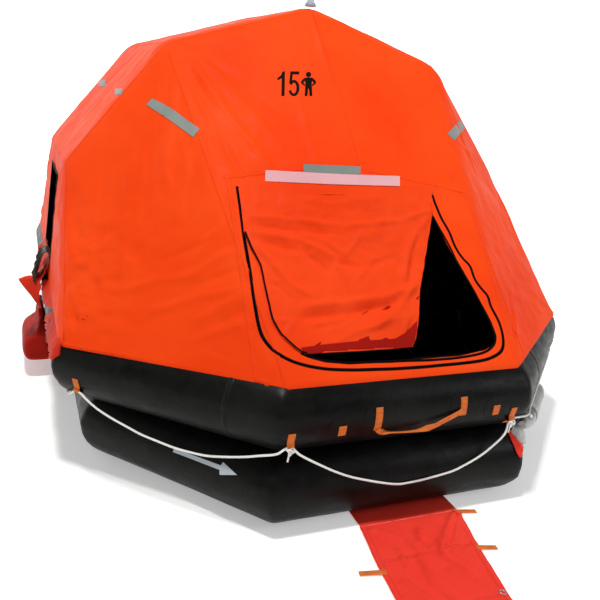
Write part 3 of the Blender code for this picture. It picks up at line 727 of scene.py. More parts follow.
def creases():
    lines = []
    for end in (-1, 1):
        left, right = canopy_corners(-1, end), canopy_corners(1, end)
        lines.append([left["corner"], left["knee"], left["shoulder"], left["peak"], right["shoulder"],
                      right["knee"],
                      right["corner"]])
        for at in (left, right):
            lines.append([at["entry"], at["shoulder"]])
    for side in (-1, 1):
        front, rear = canopy_corners(side, -1), canopy_corners(side, 1)
        for place in ("knee", "shoulder"):
            lines.append([front[place], rear[place]])
    lines.append([canopy_corners(1, -1)["peak"], canopy_corners(1, 1)["peak"]])
    return lines


def octagon(tube):
    """Corners of a tube's plan, counter-clockwise from the front left one."""
    entry, front, side, corner = PLANS[tube]
    return np.array(((-entry, -front), (entry, -front), (side, -corner), (side, corner),
                     (entry, front), (-entry, front), (-side, corner), (-side, -corner)))


def seat_on_tube(points, share):
    """Moves points by a share of the way to the upper tube's surface."""
    corners = octagon("upper")
    best = np.full(len(points), 1e9)
    nearest = np.zeros_like(points)
    for a, b in zip(corners, np.roll(corners, -1, axis=0)):
        run = b - a
        along = np.clip(((points[:, :2] - a) @ run) / (run @ run), 0, 1)
        centre = np.column_stack([a + along[:, None] * run, np.full(len(points), UPPER_Z)])
        reach = points - centre
        far = np.linalg.norm(reach, axis=1)
        seat = centre + reach / far[:, None] * (TUBE_RADIUS + 0.0006)
        closer = np.abs(far - TUBE_RADIUS) < best
        best = np.where(closer, np.abs(far - TUBE_RADIUS), best)
        nearest[closer] = seat[closer]
    return points + (nearest - points) * share[:, None]


# Folds as (start, end, half width, height), a ridge above zero and a valley below it
FOLDS = []


def fold(start, end, half_width, height):
    FOLDS.append((np.asarray(start, float), np.asarray(end, float), half_width, height))


def fan(centre, aims, spread, lengths, half_width, height, count):
    """Pull folds that leave a point towards a middle aim, in a fan over the flat between the aims."""
    centre = np.asarray(centre, float)
    first, second = (np.asarray(a, float) - centre for a in aims)
    for _ in range(count):
        share = 0.5 + spread * (rng.random() - 0.5)
        aim = first * (1 - share) + second * share
        aim = unit(aim)
        start = 0.02 + 0.06 * rng.random()
        reach = lengths[0] + (lengths[1] - lengths[0]) * rng.random()
        size = 0.6 + 0.8 * rng.random()
        sign = 1 if rng.random() < 0.6 else -1
        fold(centre + aim * start, centre + aim * (start + reach), half_width * size, height * sign * size)


def fold_heights(points, folds=FOLDS):
    """How far the cloth stands out from its flat at each point."""
    total = np.zeros(len(points))
    for start, end, half_width, height in folds:
        run = end - start
        length = float(np.linalg.norm(run))
        share = ((points - start) @ run) / (length * length)
        near = (share > -0.2) & (share < 1.2)
        if not near.any():
            continue
        own = points[near]
        along = np.clip(share[near], 0, 1)
        away = np.linalg.norm(own - (start + along[:, None] * run), axis=1)
        past = np.abs(share[near] - along) * length / half_width
        taper = np.sin(np.pi * np.clip(along * 0.86 + 0.07, 0, 1)) ** 0.7
        total[near] += height * taper * np.exp(-(away / half_width) ** 2) * np.exp(-past ** 2)
    return total


def softness(points, size, seed):
    shift = Vector((seed * 7.3, seed * 3.1, seed * 5.7))
    return np.array([noise.noise(Vector(p) / size + shift) for p in points])


# Fans of pull folds: the corner they leave, the two corners they lie between, how far they spread, their
# shortest and longest length, half width, height and number
PULLS = (
    ("shoulder", "entry", "foot", 1.2, (0.30, 0.95), 0.016, 0.0050, 9),
    ("peak", "entry", "inner_foot", 1.1, (0.3, 0.8), 0.014, 0.0035, 6),
    ("shoulder", "corner", "entry", 1.0, (0.25, 0.9), 0.018, 0.0050, 7),
    ("knee", "corner", "entry", 1.1, (0.15, 0.6), 0.014, 0.0050, 7),
    ("corner", "knee", "entry", 1.3, (0.08, 0.35), 0.010, 0.0050, 9),
    ("entry", "corner", "shoulder", 1.2, (0.08, 0.45), 0.010, 0.0040, 9),
    ("door", "shoulder", "entry", 1.5, (0.08, 0.35), 0.010, 0.0045, 9),
    ("knee", "far_corner", "corner", 1.1, (0.1, 0.5), 0.014, 0.0045, 7),
    ("corner", "far_knee", "knee", 1.1, (0.1, 0.35), 0.012, 0.0045, 6),
    ("shoulder", "far_knee", "far_shoulder", 1.1, (0.1, 0.4), 0.012, 0.003, 5),
)


def soft(points, *terms):
    """Soft random heights, as a sum of terms (height, size of a swelling, seed)."""
    return sum(height * softness(points, size, seed) for height, size, seed in terms)


def canopy_folds():
    for end in (-1, 1):
        for side in (-1, 1):
            at = canopy_corners(side, end)
            at.update(foot=sheet_point(side * 0.3, 0, end), inner_foot=sheet_point(side * 0.1, 0, end),
                      door=on_sheet(side * 0.5, 0.5, end))
            at.update({"far_" + name: place for name, place in canopy_corners(side, -end).items()})
            for centre, first, second, *shape in PULLS:
                fan(at[centre], (at[first], at[second]), *shape)


def sight(x, y):
    """The direction from the camera through a pixel of the 600 by 600 frame."""
    right, up, forward = camera_axes()
    half = FRAME_PIXELS / 2
    return (forward * FOCAL_PIXELS + right * (x - half) + up * (half - y)).normalized()


def seen(tree, pixels):
    """Where pixels of the frame fall on a surface, with the normals there."""
    points, normals = [], []
    for x, y in pixels:
        way = sight(x, y)
        hit, normal, _, _ = tree.ray_cast(CAMERA_PLACE, way)
        if hit is None:
            hit, normal, _, _ = tree.find_nearest(CAMERA_PLACE + way * 3.5)
        if normal.dot(way) > 0:
            normal = -normal
        points.append(np.array(hit))
        normals.append(np.array(normal))
    return np.array(points), np.array(normals)


# Folds that show in the front view: pixels along the fold, then its half width and height in millimetres
SEEN_FOLDS = (
    (180, 66, 172, 110, 168, 160, 16, 7), (172, 70, 160, 125, 150, 180, 18, -6),
    (192, 62, 225, 110, 268, 165, 16, 6), (188, 66, 215, 120, 240, 175, 14, -5),
    (202, 60, 245, 105, 285, 150, 14, 5), (212, 62, 262, 100, 300, 130, 12, -3.5),
    (163, 138, 164, 165, 172, 195, 12, 6.5), (149, 140, 147, 190, 144, 235, 16, -6),
    (188, 150, 184, 185, 177, 225, 14, 6), (207, 130, 210, 158, 205, 190, 12, 5),
    (232, 190, 220, 225, 196, 262, 12, 6), (200, 243, 230, 221, 8, 5.5), (205, 236, 226, 223, 6, -4),
    (188, 277, 212, 262, 237, 249, 10, 7), (195, 287, 240, 268, 8, -5.5),
    (150, 312, 195, 298, 244, 289, 10, 6), (198, 322, 222, 306, 246, 295, 9, 6.5),
    (214, 327, 244, 309, 8, -5.5), (185, 345, 215, 332, 252, 322, 12, 5), (160, 262, 210, 240, 14, -4.5),
    (120, 290, 160, 280, 200, 276, 18, 4.5), (133, 150, 124, 220, 122, 290, 22, 5),
    (105, 160, 100, 230, 92, 300, 22, -5), (433, 152, 431, 190, 8, 5), (380, 98, 389, 80, 8, -3),
    (458, 142, 478, 166, 10, 4), (300, 100, 310, 140, 318, 164, 12, 3), (262, 120, 250, 150, 10, 3.5),
    (230, 240, 236, 262, 245, 288, 10, -4.5), (60, 258, 70, 290, 82, 318, 12, 8),
    (66, 270, 72, 300, 79, 332, 10, -8), (58, 200, 66, 235, 80, 268, 12, 7),
    (62, 180, 72, 215, 80, 240, 12, -6), (60, 288, 64, 315, 70, 338, 9, 7),
)


def pixel_folds(tree, rows, rise, least):
    """Folds whose places are pixels that fall on a surface."""
    made = []
    for *pixels, half_width, height in rows:
        points, _ = seen(tree, zip(pixels[::2], pixels[1::2]))
        height = height / 1000 * rise
        wide = max(half_width / 1000, 0.45 * abs(height) + least)
        made += [(a, b, wide, height) for a, b in zip(points[:-1], points[1:])]
    return made


def build_canopy():
    parts, groups = canopy_net()
    points, faces, owner = weld(parts)
    away = np.min([distance_to_line(points, line) for line in creases()], axis=0)
    border = at_edge(points, faces)
    points = relax(points, faces, np.where(border, 0.0, 0.5 * np.clip(1.3 - away / 0.045, 0, 1)), 26)
    height = points[:, 2] - BASE_CORNER[2]
    normals = normals_of(points, faces)
    canopy_folds()
    FOLDS.extend(pixel_folds(tree_of(points, faces), SEEN_FOLDS, 1.5, 0.014))
    hold = np.clip(away / 0.05, 0.12, 1) * np.clip(height / 0.09, 0.0, 1)
    slack = fold_heights(points) + soft(points, (0.0055, 0.30, 1), (0.0026, 0.07, 2))
    crumpled = np.exp(-(np.linalg.norm((points - np.array((-1.15, -1.25, 0.90))) / (0.22, 0.30, 0.30),
                                       axis=1)) ** 2)
    slack += crumpled * soft(points, (0.013, 0.060, 3), (0.008, 0.032, 4))
    points = points + normals * (slack * hold)[:, None]
    points = seat_on_tube(points, border & (height < 0.06))
    return points, faces, normals_of(points, faces), np.array(groups)[owner]


canopy_points, canopy_faces, canopy_normals, canopy_groups = build_canopy()
CANOPY = tree_of(canopy_points, canopy_faces)


def part_of(points, faces, normals, keep):
    """The points and faces of some faces only."""
    chosen = [face for face, kept in zip(faces, keep) if kept]
    used = sorted({i for face in chosen for i in face})
    index = {old: new for new, old in enumerate(used)}
    return points[used], [tuple(index[i] for i in face) for face in chosen], normals[used]


def canopy_pieces():
    nodes = {
        "canopy_cloth_front": ("canopy_front", "canopy_front_left", "canopy_front_right"),
        "canopy_cloth_rear": ("canopy_rear", "canopy_rear_left", "canopy_rear_right"),
        "canopy_cloth_middle": ("side_wall_left", "side_wall_right", "canopy_slant_left",
                                "canopy_slant_right",
                                "canopy_roof_left", "canopy_roof_right"),
    }
    pieces = []
    for number, (name, stands_for) in enumerate(nodes.items()):
        points, faces, normals = part_of(canopy_points, canopy_faces, canopy_normals, canopy_groups == number)
        pieces.append(sewn(name, points, faces, [canopy_cloth, canopy_lining], "canopy_fabric",
                           normals=normals, stands_for=stands_for))
    return pieces


CANOPY_PIECES = canopy_pieces()


# Tubes

def offset(outline, distance):
    """The outline moved inwards by a distance, for corners listed counter-clockwise."""
    moved = []
    for here, before, after in zip(outline, np.roll(outline, 1, axis=0), np.roll(outline, -1, axis=0)):
        run_in = unit(here - before)
        run_out = unit(after - here)
        normal_in = np.array((-run_in[1], run_in[0]))
        normal_out = np.array((-run_out[1], run_out[0]))
        middle = unit(normal_in + normal_out)
        moved.append(here + middle * (distance / float(middle @ normal_in)))
    return np.array(moved)


def tube_point(tube, edge, along, angle, radius):
    """A point of a mitred tube: edge number, share along it, and the angle up from its outer side."""
    corners = octagon(tube)
    outer = offset(corners, -1.0)
    start, stop = (corners[k] + (outer[k] - corners[k]) * (radius * math.cos(angle))
                   for k in (edge, (edge + 1) % 8))
    flat = start + (stop - start) * along
    return np.array((flat[0], flat[1], HEIGHTS[tube] + radius * math.sin(angle)))


def edge_length(tube, edge):
    corners = octagon(tube)
    return float(np.linalg.norm(corners[(edge + 1) % 8] - corners[edge]))


def tube_shares(length, fine=0.012, coarse=0.05, near=0.22):
    """Shares along a tube's edge, close together near its corners."""
    places = [0.0]
    while places[-1] < length:
        here = places[-1]
        gap = min(here, length - here)
        places.append(here + fine + (coarse - fine) * min(1.0, max(0.0, gap / near)))
    scale = length / places[-1]
    return [p * scale / length for p in places[:-1]]


TUBE_SIDES, PUCKERS, SEAM_REACH, LARGEST_LIFT = 56, 17, 0.45, 0.006
PINCH_DEPTH, PINCH_REACH = 0.0030, 0.010


def tube_puckers(corner, seed):
    """Random ridges around a corner's seam: (angle, half width, height, reach, side)."""
    own = np.random.default_rng(seed * 8 + corner)
    return [(own.uniform(0, math.tau), own.uniform(0.05, 0.13), own.uniform(-0.0035, 0.0045),
             own.uniform(0.035, 0.15), own.choice((-1, 1))) for _ in range(PUCKERS)]


def tube_lift(angle, ends, puckers):
    """How far a tube stands out near its corners: a pinched seam with puckers around it."""
    lift = 0.0
    for corner, gap, side in ends:
        if gap > SEAM_REACH:
            continue
        lift -= PINCH_DEPTH * math.exp(-gap / PINCH_REACH)
        for at, width, size, reach, own_side in puckers[corner]:
            if own_side != side and gap > 0.004:
                continue
            turn = (angle - at + math.pi) % math.tau - math.pi
            lift += size * math.exp(-(turn / width) ** 2) * math.exp(-((gap - 0.02) / reach) ** 2)
    return min(lift, LARGEST_LIFT)


def tube_faces(points, sides):
    """A ring's faces, which look away from its centre line."""
    rings = points.reshape(-1, sides, 3)
    centre = np.repeat(rings.mean(axis=1), sides, axis=0)
    return facing(points, grid_faces(sides, len(rings), round_columns=True, round_rows=True), points - centre)


def build_tube(tube, seed):
    points = []
    puckers = [tube_puckers(corner, seed) for corner in range(8)]
    for edge in range(8):
        length = edge_length(tube, edge)
        for share in tube_shares(length):
            ends = ((edge, share * length, 1), ((edge + 1) % 8, (1 - share) * length, -1))
            for angle in (math.tau * k / TUBE_SIDES for k in range(TUBE_SIDES)):
                points.append(tube_point(tube, edge, share, angle,
                                         TUBE_RADIUS + tube_lift(angle, ends, puckers)))
    points = np.array(points)
    faces = tube_faces(points, TUBE_SIDES)
    points = points + normals_of(points, faces) * soft(points, (0.0012, 0.11, seed))[:, None]
    points[:, 2] = np.maximum(points[:, 2], 0.0)
    dress(f"{tube}_tube_skin", points, faces, tube_rubber, "tube_rubber", stands_for=(f"{tube}_tube",))
    return tree_of(points, faces)


TUBES = {tube: build_tube(tube, seed) for tube, seed in (("lower", 3), ("upper", 4))}


# Tools for what lies on the cloth, on the tubes or along a line

def lay(tree, points, outwards, lift, reach=0.25):
    """Sets points on a surface, coming from outside it, and lifts them. Also gives the normals there."""
    points = np.asarray(points, float)
    outwards = np.broadcast_to(np.asarray(outwards, float), points.shape)
    placed, normals = [], []
    for point, out in zip(points, outwards):
        out = unit(out)
        hit, normal, _, _ = tree.ray_cast(Vector(point + out * reach), Vector(-out), 2 * reach)
        if hit is None:
            hit, normal, _, _ = tree.find_nearest(Vector(point))
        normal = np.array(normal)
        if float(normal @ out) < 0:
            normal = -normal
        placed.append(np.array(hit) + normal * lift)
        normals.append(normal)
    return np.array(placed), np.array(normals)


def merged(parts):
    """Several (points, faces) shapes as one."""
    points, faces, start = [], [], 0
    for own_points, own_faces in parts:
        points.append(np.asarray(own_points, float))
        faces += [tuple(i + start for i in face) for face in own_faces]
        start += len(own_points)
    return np.vstack(points), faces

def sweep(line, normals, profile, closed=False):
    """A closed cross-section carried along a line. Its points are (across, up), and up is the normal."""
    line = np.asarray(line, float)
    normals = np.broadcast_to(np.asarray(normals, float), line.shape)
    if closed:
        along = np.roll(line, -1, axis=0) - np.roll(line, 1, axis=0)
    else:
        along = np.gradient(line, axis=0)
    along = units(along)
    across = np.cross(along, normals)
    across = units(across)
    up = np.cross(across, along)
    profile = np.asarray(profile, float)
    if profile.ndim == 2:
        profile = np.broadcast_to(profile, (len(line), *profile.shape))
    points = line[:, None] + across[:, None] * profile[..., :1] + up[:, None] * profile[..., 1:]
    points = points.reshape(-1, 3)
    sides = profile.shape[1]
    faces = grid_faces(sides, len(line), round_columns=True, round_rows=closed)
    if not closed:
        faces = capped_faces(sides, len(line))
    return points, facing(points, faces, points - np.repeat(line, sides, axis=0))


def strap_profile(width, thick, seat=0.0):
    """A flat strap's rounded cross-section, its underside at the seat height."""
    half, edge = width / 2, thick * 0.45
    return ((-half, seat + thick / 2), (-half + edge, seat), (half - edge, seat), (half, seat + thick / 2),
            (half - edge, seat + thick), (-half + edge, seat + thick))

def round_profile(radius, sides=8, squeeze=1.0):
    return [(radius * math.cos(math.tau * k / sides), radius * squeeze * math.sin(math.tau * k / sides))
            for k in range(sides)]


def twisted(line, radius, pitch=0.042, closed=False, sides=12, strands=3, step=0.007):
    """A laid rope: rounded strands that wind about its line."""
    line = spaced(line, step, closed)
    lengths = np.linalg.norm(np.diff(line, axis=0), axis=1)
    turns = np.concatenate([[0], np.cumsum(lengths)]) / pitch
    if closed:
        whole = float(np.linalg.norm(line[0] - line[-1]) / pitch + turns[-1])
        turns = turns * (round(whole) / whole)
    angles = math.tau * np.arange(sides) / sides
    phase = strands / 2 * (angles[None, :] - math.tau * turns[:, None])
    reach = radius * (0.78 + 0.22 * np.abs(np.cos(phase)))
    profile = np.stack([reach * np.cos(angles), reach * np.sin(angles)], axis=-1)
    return sweep(line, (0, 0, 1), profile, closed)


def as_lengths(outline):
    """An outline in (x, share up) as one in metres along the sheet."""
    return [(x, up * SHEET_HIGH) for x, up in outline]


def tube_outwards(tube, edge):
    corners = octagon(tube)
    run = unit(corners[(edge + 1) % 8] - corners[edge])
    return np.array((run[1], -run[0], 0.0))


def tube_normal(tube, edge, angle):
    return tube_outwards(tube, edge) * math.cos(angle) + np.array((0, 0, math.sin(angle)))


def on_tube(tube, edge, along, degrees, lift=0.0):
    """A place on a tube's straight run, from the share along the edge and the angle up, without the mitre."""
    corners = octagon(tube)
    flat = corners[edge] + (corners[(edge + 1) % 8] - corners[edge]) * along
    return np.array((*flat, HEIGHTS[tube])) + tube_normal(tube, edge,
                                                          math.radians(degrees)) * (TUBE_RADIUS + lift)


def laid_on_tube(tube, edge, places, lift, length=1.0):
    """Lays points, in lengths along the edge and metres round the tube from its outer side, on its skin."""
    rough = [on_tube(tube, edge, x / length, math.degrees(y / TUBE_RADIUS)) for x, y in places]
    outwards = [tube_normal(tube, edge, y / TUBE_RADIUS) for _, y in places]
    return lay(TUBES[tube], rough, outwards, lift, reach=0.05)


def tube_patch(tube, edge, outline, step, lift):
    """A patch on a tube. Its outline is in metres along the edge and round the tube from its outer side."""
    flat, faces = filled(outline, step)
    return raised(*laid_on_tube(tube, edge, flat, lift, edge_length(tube, edge)), faces, lift)


def circle(x, y, radius, steps=28):
    return [(x + radius * math.cos(math.tau * k / steps), y + radius * math.sin(math.tau * k / steps))
            for k in range(steps)]


def box_outline(x, y, width, height, turn=0.0):
    """A rectangle about a middle point, turned."""
    cosine, sine = math.cos(turn), math.sin(turn)
    corners = ((-width / 2, -height / 2), (width / 2, -height / 2), (width / 2, height / 2),
               (-width / 2, height / 2))
    return [(x + a * cosine - b * sine, y + a * sine + b * cosine) for a, b in corners]


def seen_patch(tree, outline, step, lift):
    """A thin closed shape laid on a surface, its outline in pixels of the frame."""
    flat, faces = filled(outline, step)
    points, normals = seen(tree, flat)
    return raised(points + normals * lift, normals, faces, lift)


def grain_tree():
    """Small rounded grains along a line, for stitches, zip teeth and ribs."""
    tree = bpy.data.node_groups.new("grains along a line", "GeometryNodeTree")
    for name, kind in (("Geometry", "Geometry"), ("Pitch", "Float"), ("Length", "Float"), ("Width", "Float"),
                       ("Height", "Float"), ("Finish", "Material")):
        tree.interface.new_socket(name, in_out="INPUT", socket_type="NodeSocket" + kind)
    tree.interface.new_socket("Geometry", in_out="OUTPUT", socket_type="NodeSocketGeometry")

    def add(kind, inputs=(), **settings):
        made = tree.nodes.new(kind)
        for key, value in settings.items():
            setattr(made, key, value)
        for socket, source in inputs:
            if isinstance(source, bpy.types.NodeSocket):
                tree.links.new(source, made.inputs[socket])
            else:
                made.inputs[socket].default_value = source
        return made.outputs

    start = add("NodeGroupInput")
    path = add("GeometryNodeMeshToCurve", [(0, start["Geometry"])])
    marks = add("GeometryNodeResampleCurve", [("Curve", path[0]), ("Length", start["Pitch"])], mode="LENGTH")
    grain = add("GeometryNodeMeshIcoSphere", [("Radius", 0.5)])
    size = add("ShaderNodeCombineXYZ", [(0, start["Length"]), (1, start["Width"]), (2, start["Height"])])
    shaped = add("GeometryNodeTransform", [("Geometry", grain["Mesh"]), ("Scale", size[0])])
    outwards = add("GeometryNodeInputNamedAttribute", [("Name", "outwards")], data_type="FLOAT_VECTOR")
    along = add("FunctionNodeAlignRotationToVector", [("Vector", add("GeometryNodeInputTangent")[0])],
                axis="X")
    turn = add("FunctionNodeAlignRotationToVector", [("Rotation", along[0]), ("Vector", outwards[0])],
               axis="Z",
               pivot_axis="X")
    laid = add("GeometryNodeInstanceOnPoints",
               [("Points", marks[0]), ("Instance", shaped[0]), ("Rotation", turn[0])])
    real = add("GeometryNodeRealizeInstances", [(0, laid[0])])
    finished = add("GeometryNodeSetMaterial", [("Geometry", real[0]), ("Material", start["Finish"])])
    add("NodeGroupOutput", [(0, finished[0])])
    return tree


GRAINS = grain_tree()


def grains(name, lines, pitch, size, finish, slot, body="raft"):
    """One piece of small grains along lines of (points, normals). The size is length, width and height."""
    points, outs, edges = [], [], []
    for line, normals in lines:
        start = len(points)
        points += [tuple(p) for p in line]
        outs += [tuple(n) for n in np.broadcast_to(normals, np.shape(line))]
        edges += [(k, k + 1) for k in range(start, len(points) - 1)]
    path = bpy.data.meshes.new("path")
    path.from_pydata(points, edges, [])
    path.attributes.new("outwards", "FLOAT_VECTOR", "POINT").data.foreach_set("vector", np.ravel(outs))
    holder = linked("holder", path)
    change = holder.modifiers.new("grains", "NODES")
    change.node_group = GRAINS
    values = dict(Pitch=pitch, Length=size[0], Width=size[1], Height=size[2], Finish=finish)
    for item in GRAINS.interface.items_tree:
        if item.in_out == "INPUT" and item.name in values:
            change[item.identifier] = values[item.name]
    mesh = bpy.data.meshes.new_from_object(holder.evaluated_get(bpy.context.evaluated_depsgraph_get()))
    bpy.data.objects.remove(holder, do_unlink=True)
    mesh.name = name
    mesh.shade_smooth()
    return placed(name, mesh, slot, body)


def beside(line, normals, distance):
    """A line moved sideways on the surface that it lies on."""
    along = np.gradient(line, axis=0)
    across = np.cross(along, normals)
    return line + units(across) * distance


# Seams of the canopy: lapped strips with two rows of stitches

SEAM_WIDTH, SEAM_HIGH, STITCH = 0.020, 0.0016, (0.0046, 0.0011, 0.0009)
TOP_SEAM = ((-0.606, 0.538), (-0.115, 0.520), (0.460, 0.506), (0.585, 0.503))
LEFT_SEAM = ((-0.583, 0.535), (-0.602, 0.27), (-0.621, 0.004))
RIGHT_SEAM = ((0.585, 0.503), (0.604, 0.27), (0.621, 0.004))
REAR_SEAMS = (((-0.60, 0.52), (0.60, 0.52)), ((-0.585, 0.52), (-0.621, 0.004)),
              ((0.585, 0.52), (0.621, 0.004)))


def evened(rows, rounds=4):
    rows = np.array(rows, float)
    for _ in range(rounds):
        rows[1:-1] = 0.5 * rows[1:-1] + 0.25 * (rows[:-2] + rows[2:])
    return rows


def cling(tree, line):
    """A line moved to the nearest place on a rounded surface, with smooth normals."""
    points, normals = [], []
    for place, out in zip(line, core_direction(line)):
        hit, normal, _, _ = tree.find_nearest(Vector(place))
        points.append(np.array(hit))
        normals.append(np.array(normal) * (1 if float(np.array(normal) @ out) > 0 else -1))
    return evened(points), units(evened(normals, 10))


def canopy_seam_lines():
    lines = [cling(CANOPY, spaced(line, 0.02)) for line in creases()]
    middle = [canopy_corners(1, -1)["peak"], sheet_point(0.01, 0.80, -1), sheet_point(0.03, 0.515, -1)]
    for end, seams in ((-1, (TOP_SEAM, LEFT_SEAM, RIGHT_SEAM)), (1, REAR_SEAMS)):
        routes = [[on_sheet(*p, end) for p in line] for line in seams]
        for route in [middle] + routes if end < 0 else routes:
            lines.append(lay(CANOPY, spaced(route, 0.02), sheet_normal(end), 0.0))
    return lines


def build_seams():
    strips, rows = [], []
    for points, normals in canopy_seam_lines():
        strips.append(sweep(points, normals, strap_profile(SEAM_WIDTH, 2 * SEAM_HIGH, -SEAM_HIGH)))
        for side in (-1, 1):
            rows.append((beside(points, normals, side * SEAM_WIDTH * 0.32) + normals * SEAM_HIGH * 1.05,
                         normals))
    dress("canopy_seam_strips", *merged(strips), canopy_cloth, "canopy_fabric")
    grains("canopy_stitches", rows, 0.0085, STITCH, red_thread, "canopy_fabric")


build_seams()

# Front entrance: zips, the open flap, tapes and prints

FLAP_HEAD = ((437.5, 190), (400, 187.5), (352, 187), (300, 187), (265, 188), (238, 189))
FLAP_LEFT = ((238, 189), (241, 210), (243.5, 232), (250, 248), (259, 266), (263, 285), (267, 303), (272, 322),
             (282, 338), (298, 351), (305, 354.5))
FLAP_FOOT = ((305, 354.5), (325, 353.2), (358, 351.6), (392, 349.4), (412, 347.5))
FLAP_RIGHT = ((412, 347.5), (415, 340), (417.5, 325), (419, 305), (420.5, 285), (424, 265), (427, 245),
              (429.5, 228),
              (431, 215), (433.5, 208), (437, 204), (437.5, 190))
FLAP_HEM = ((301, 348), (330, 344), (355, 341.5), (395, 339), (405, 333), (417.2, 321), (417.0, 328),
            (414.6, 340),
            (411.8, 347), (392, 348.9), (358, 351.1), (325, 352.7), (306, 353.8))
# Its folds: pixels along the fold, then half width and height in millimetres
FLAP_FOLDS = (
    (246, 217, 290, 221, 345, 227, 370, 225, 400, 221, 431, 211, 10, 6.5),
    (250, 226, 300, 231, 345, 236, 12, -5), (250, 233, 300, 241, 330, 256, 346, 281, 12, 8.5),
    (262, 243, 305, 253, 330, 272, 12, -6.5), (256, 246, 290, 285, 312, 298, 10, 7.5),
    (268, 280, 300, 306, 9, -5), (303, 308, 345, 303, 385, 297, 412, 288, 10, 10.5),
    (305, 318, 350, 314, 400, 303, 20, -11), (322, 240, 346, 256, 362, 232, 8, 4.5),
    (426, 218, 407, 252, 401, 287, 10, 9), (420, 226, 414, 250, 411, 282, 10, -8),
    (373, 331, 400, 305, 416, 284, 12, 8), (330, 346, 350, 335, 398, 318, 16, 8), (274, 322, 292, 321, 7, 5),
    (283, 338, 296, 320, 8, 4.5), (310, 330, 345, 322, 12, -6), (290, 200, 330, 205, 380, 200, 18, 4),
    (330, 262, 365, 268, 395, 258, 16, -6), (352, 285, 372, 262, 12, 5), (415, 318, 405, 338, 10, -7),
)
OUTER_ZIP = ((237, 187), (240, 207), (244, 236), (250, 270), (255, 300), (260, 324), (266, 339), (278, 353),
             (296, 363),
             (320, 368.5), (350, 370), (400, 368.5), (450, 364.5), (480, 361), (495, 356), (502.5, 349),
             (503, 337),
             (499, 322), (491, 306), (488, 296), (482, 289), (475, 279), (470, 266), (463, 259), (455, 247),
             (449, 233),
             (441, 219), (436, 207), (433, 198), (431.5, 193))
FOOT_ZIP = ((301, 353.5), (312, 358), (330, 361), (350, 362.5), (400, 361), (440, 359.5), (470, 356),
            (487, 351),
            (494.5, 343), (494, 335), (489, 321), (480, 303), (463, 274), (449, 246), (438, 227),
            (432.5, 217))
ZIP_WIDTH, ZIP_THICK, ZIP_SEAT, ZIP_TEETH = 0.014, 0.0030, -0.0012, (0.0014, 0.0048, 0.0030)
TEETH_LIFT, TEETH_PITCH = 0.0026, 0.0030
FLAP_RISE = 0.006


def plain_sheet():
    """The front sheet as it is before it is cut and folded, to place pixels on."""
    shares = np.linspace(-1.3, 1.3, 25)
    points = [sheet_point(x, up, -1) for up in np.linspace(0, 1, 13) for x in shares]
    faces = grid_faces(25, 13)
    return tree_of(points, facing(np.array(points), faces, sheet_normal(-1)))


PLAIN_SHEET = plain_sheet()


def flap_surface():
    outline = list(FLAP_LEFT[:-1]) + list(FLAP_FOOT[:-1]) + list(FLAP_RIGHT[:-1]) + list(FLAP_HEAD[:-1])
    flat, faces = filled(outline, 2.1)
    base, _ = seen(PLAIN_SHEET, flat)
    out = sheet_normal(-1)
    rise = []
    for place in base:
        hit, _, _, _ = CANOPY.ray_cast(Vector(place + out * 0.1), Vector(-out), 0.2)
        rise.append(FLAP_RISE + (0.0 if hit is None else float((np.array(hit) - place) @ out)))
    points = base + out * np.array(rise)[:, None]
    faces = facing(points, faces, out)
    points = relax(points, faces, np.where(at_edge(points, faces), 0.0, 0.5), 6)
    from_head, from_left, from_foot = (distance_to_line(flat, line)
                                       for line in (FLAP_HEAD, FLAP_LEFT, FLAP_FOOT))
    free = np.clip(from_left / 130, 0, 1) ** 1.2 * np.clip(from_head / 75, 0, 1)
    way = units(points - np.array(CAMERA_PLACE))
    slack = fold_heights(base, pixel_folds(PLAIN_SHEET, FLAP_FOLDS, 1.7, 0.009))
    slack += soft(base, (0.010, 0.17, 5), (0.0060, 0.06, 6), (0.0028, 0.028, 7))
    room = np.clip(from_head / 14, 0, 1) * np.clip(from_left / 10, 0.15, 1)
    room *= np.clip((from_foot - 5) / 16, 0.08, 1)
    return flat, points + way * (0.075 * free)[:, None] + out * (slack * room)[:, None], faces


def on_flap(flat, points, normals, line):
    """A line in pixels of the frame, carried to where the folded flap's own cloth lies."""
    made = []
    for place in spaced(line, 2.0):
        far = np.linalg.norm(flat - place, axis=1)
        near = np.argsort(far)[:4]
        share = 1 / (far[near] + 0.3)
        made.append(np.hstack([(share @ points[near]) / share.sum(), (share @ normals[near]) / share.sum()]))
    made = evened(made, 2)
    return made[:, :3], made[:, 3:] / np.linalg.norm(made[:, 3:], axis=1)[:, None]


def build_flap():
    flat, points, faces = flap_surface()
    tree = tree_of(points, faces)
    normals = normals_of(points, faces)
    pieces = [sewn("front_flap_cloth", points, faces, flap_cloth, "canopy_fabric", normals=normals, body=None,
                   stands_for=("front_door_flap",))]

    def along(line, move, steps, profile):
        route = smooth_line([(x + move[0], y + move[1]) for x, y in line], steps)
        return sweep(*on_flap(flat, points, normals, route), profile)

    teeth = along(FLAP_LEFT[2:], (1.2, 0), 5, strap_profile(0.0085, 0.0034, -0.0006))
    hems = [along(FLAP_RIGHT[1:-1], (-0.5, 0), 4, round_profile(0.0030, 8, 0.8)),
            along(FLAP_FOOT[1:], (0, -0.6), 4, round_profile(0.0026, 8, 0.8))]
    for name, shape, finish, slot in (
        ("band", seen_patch(tree, FLAP_HEM, 1.8, 0.0030), flap_band_cloth, "canopy_fabric"),
        ("zip", teeth, zip_cloth, "webbing"), ("hem", merged(hems), flap_cloth, "canopy_fabric"),
    ):
        pieces.append(dress(f"front_flap_{name}", *shape, finish, slot, body=None))
    return points, faces, pieces


flap_points, flap_faces, FLAP_PIECES = build_flap()
CANOPY_AND_FLAP = tree_of(*merged([(canopy_points, canopy_faces), (flap_points, flap_faces)]))


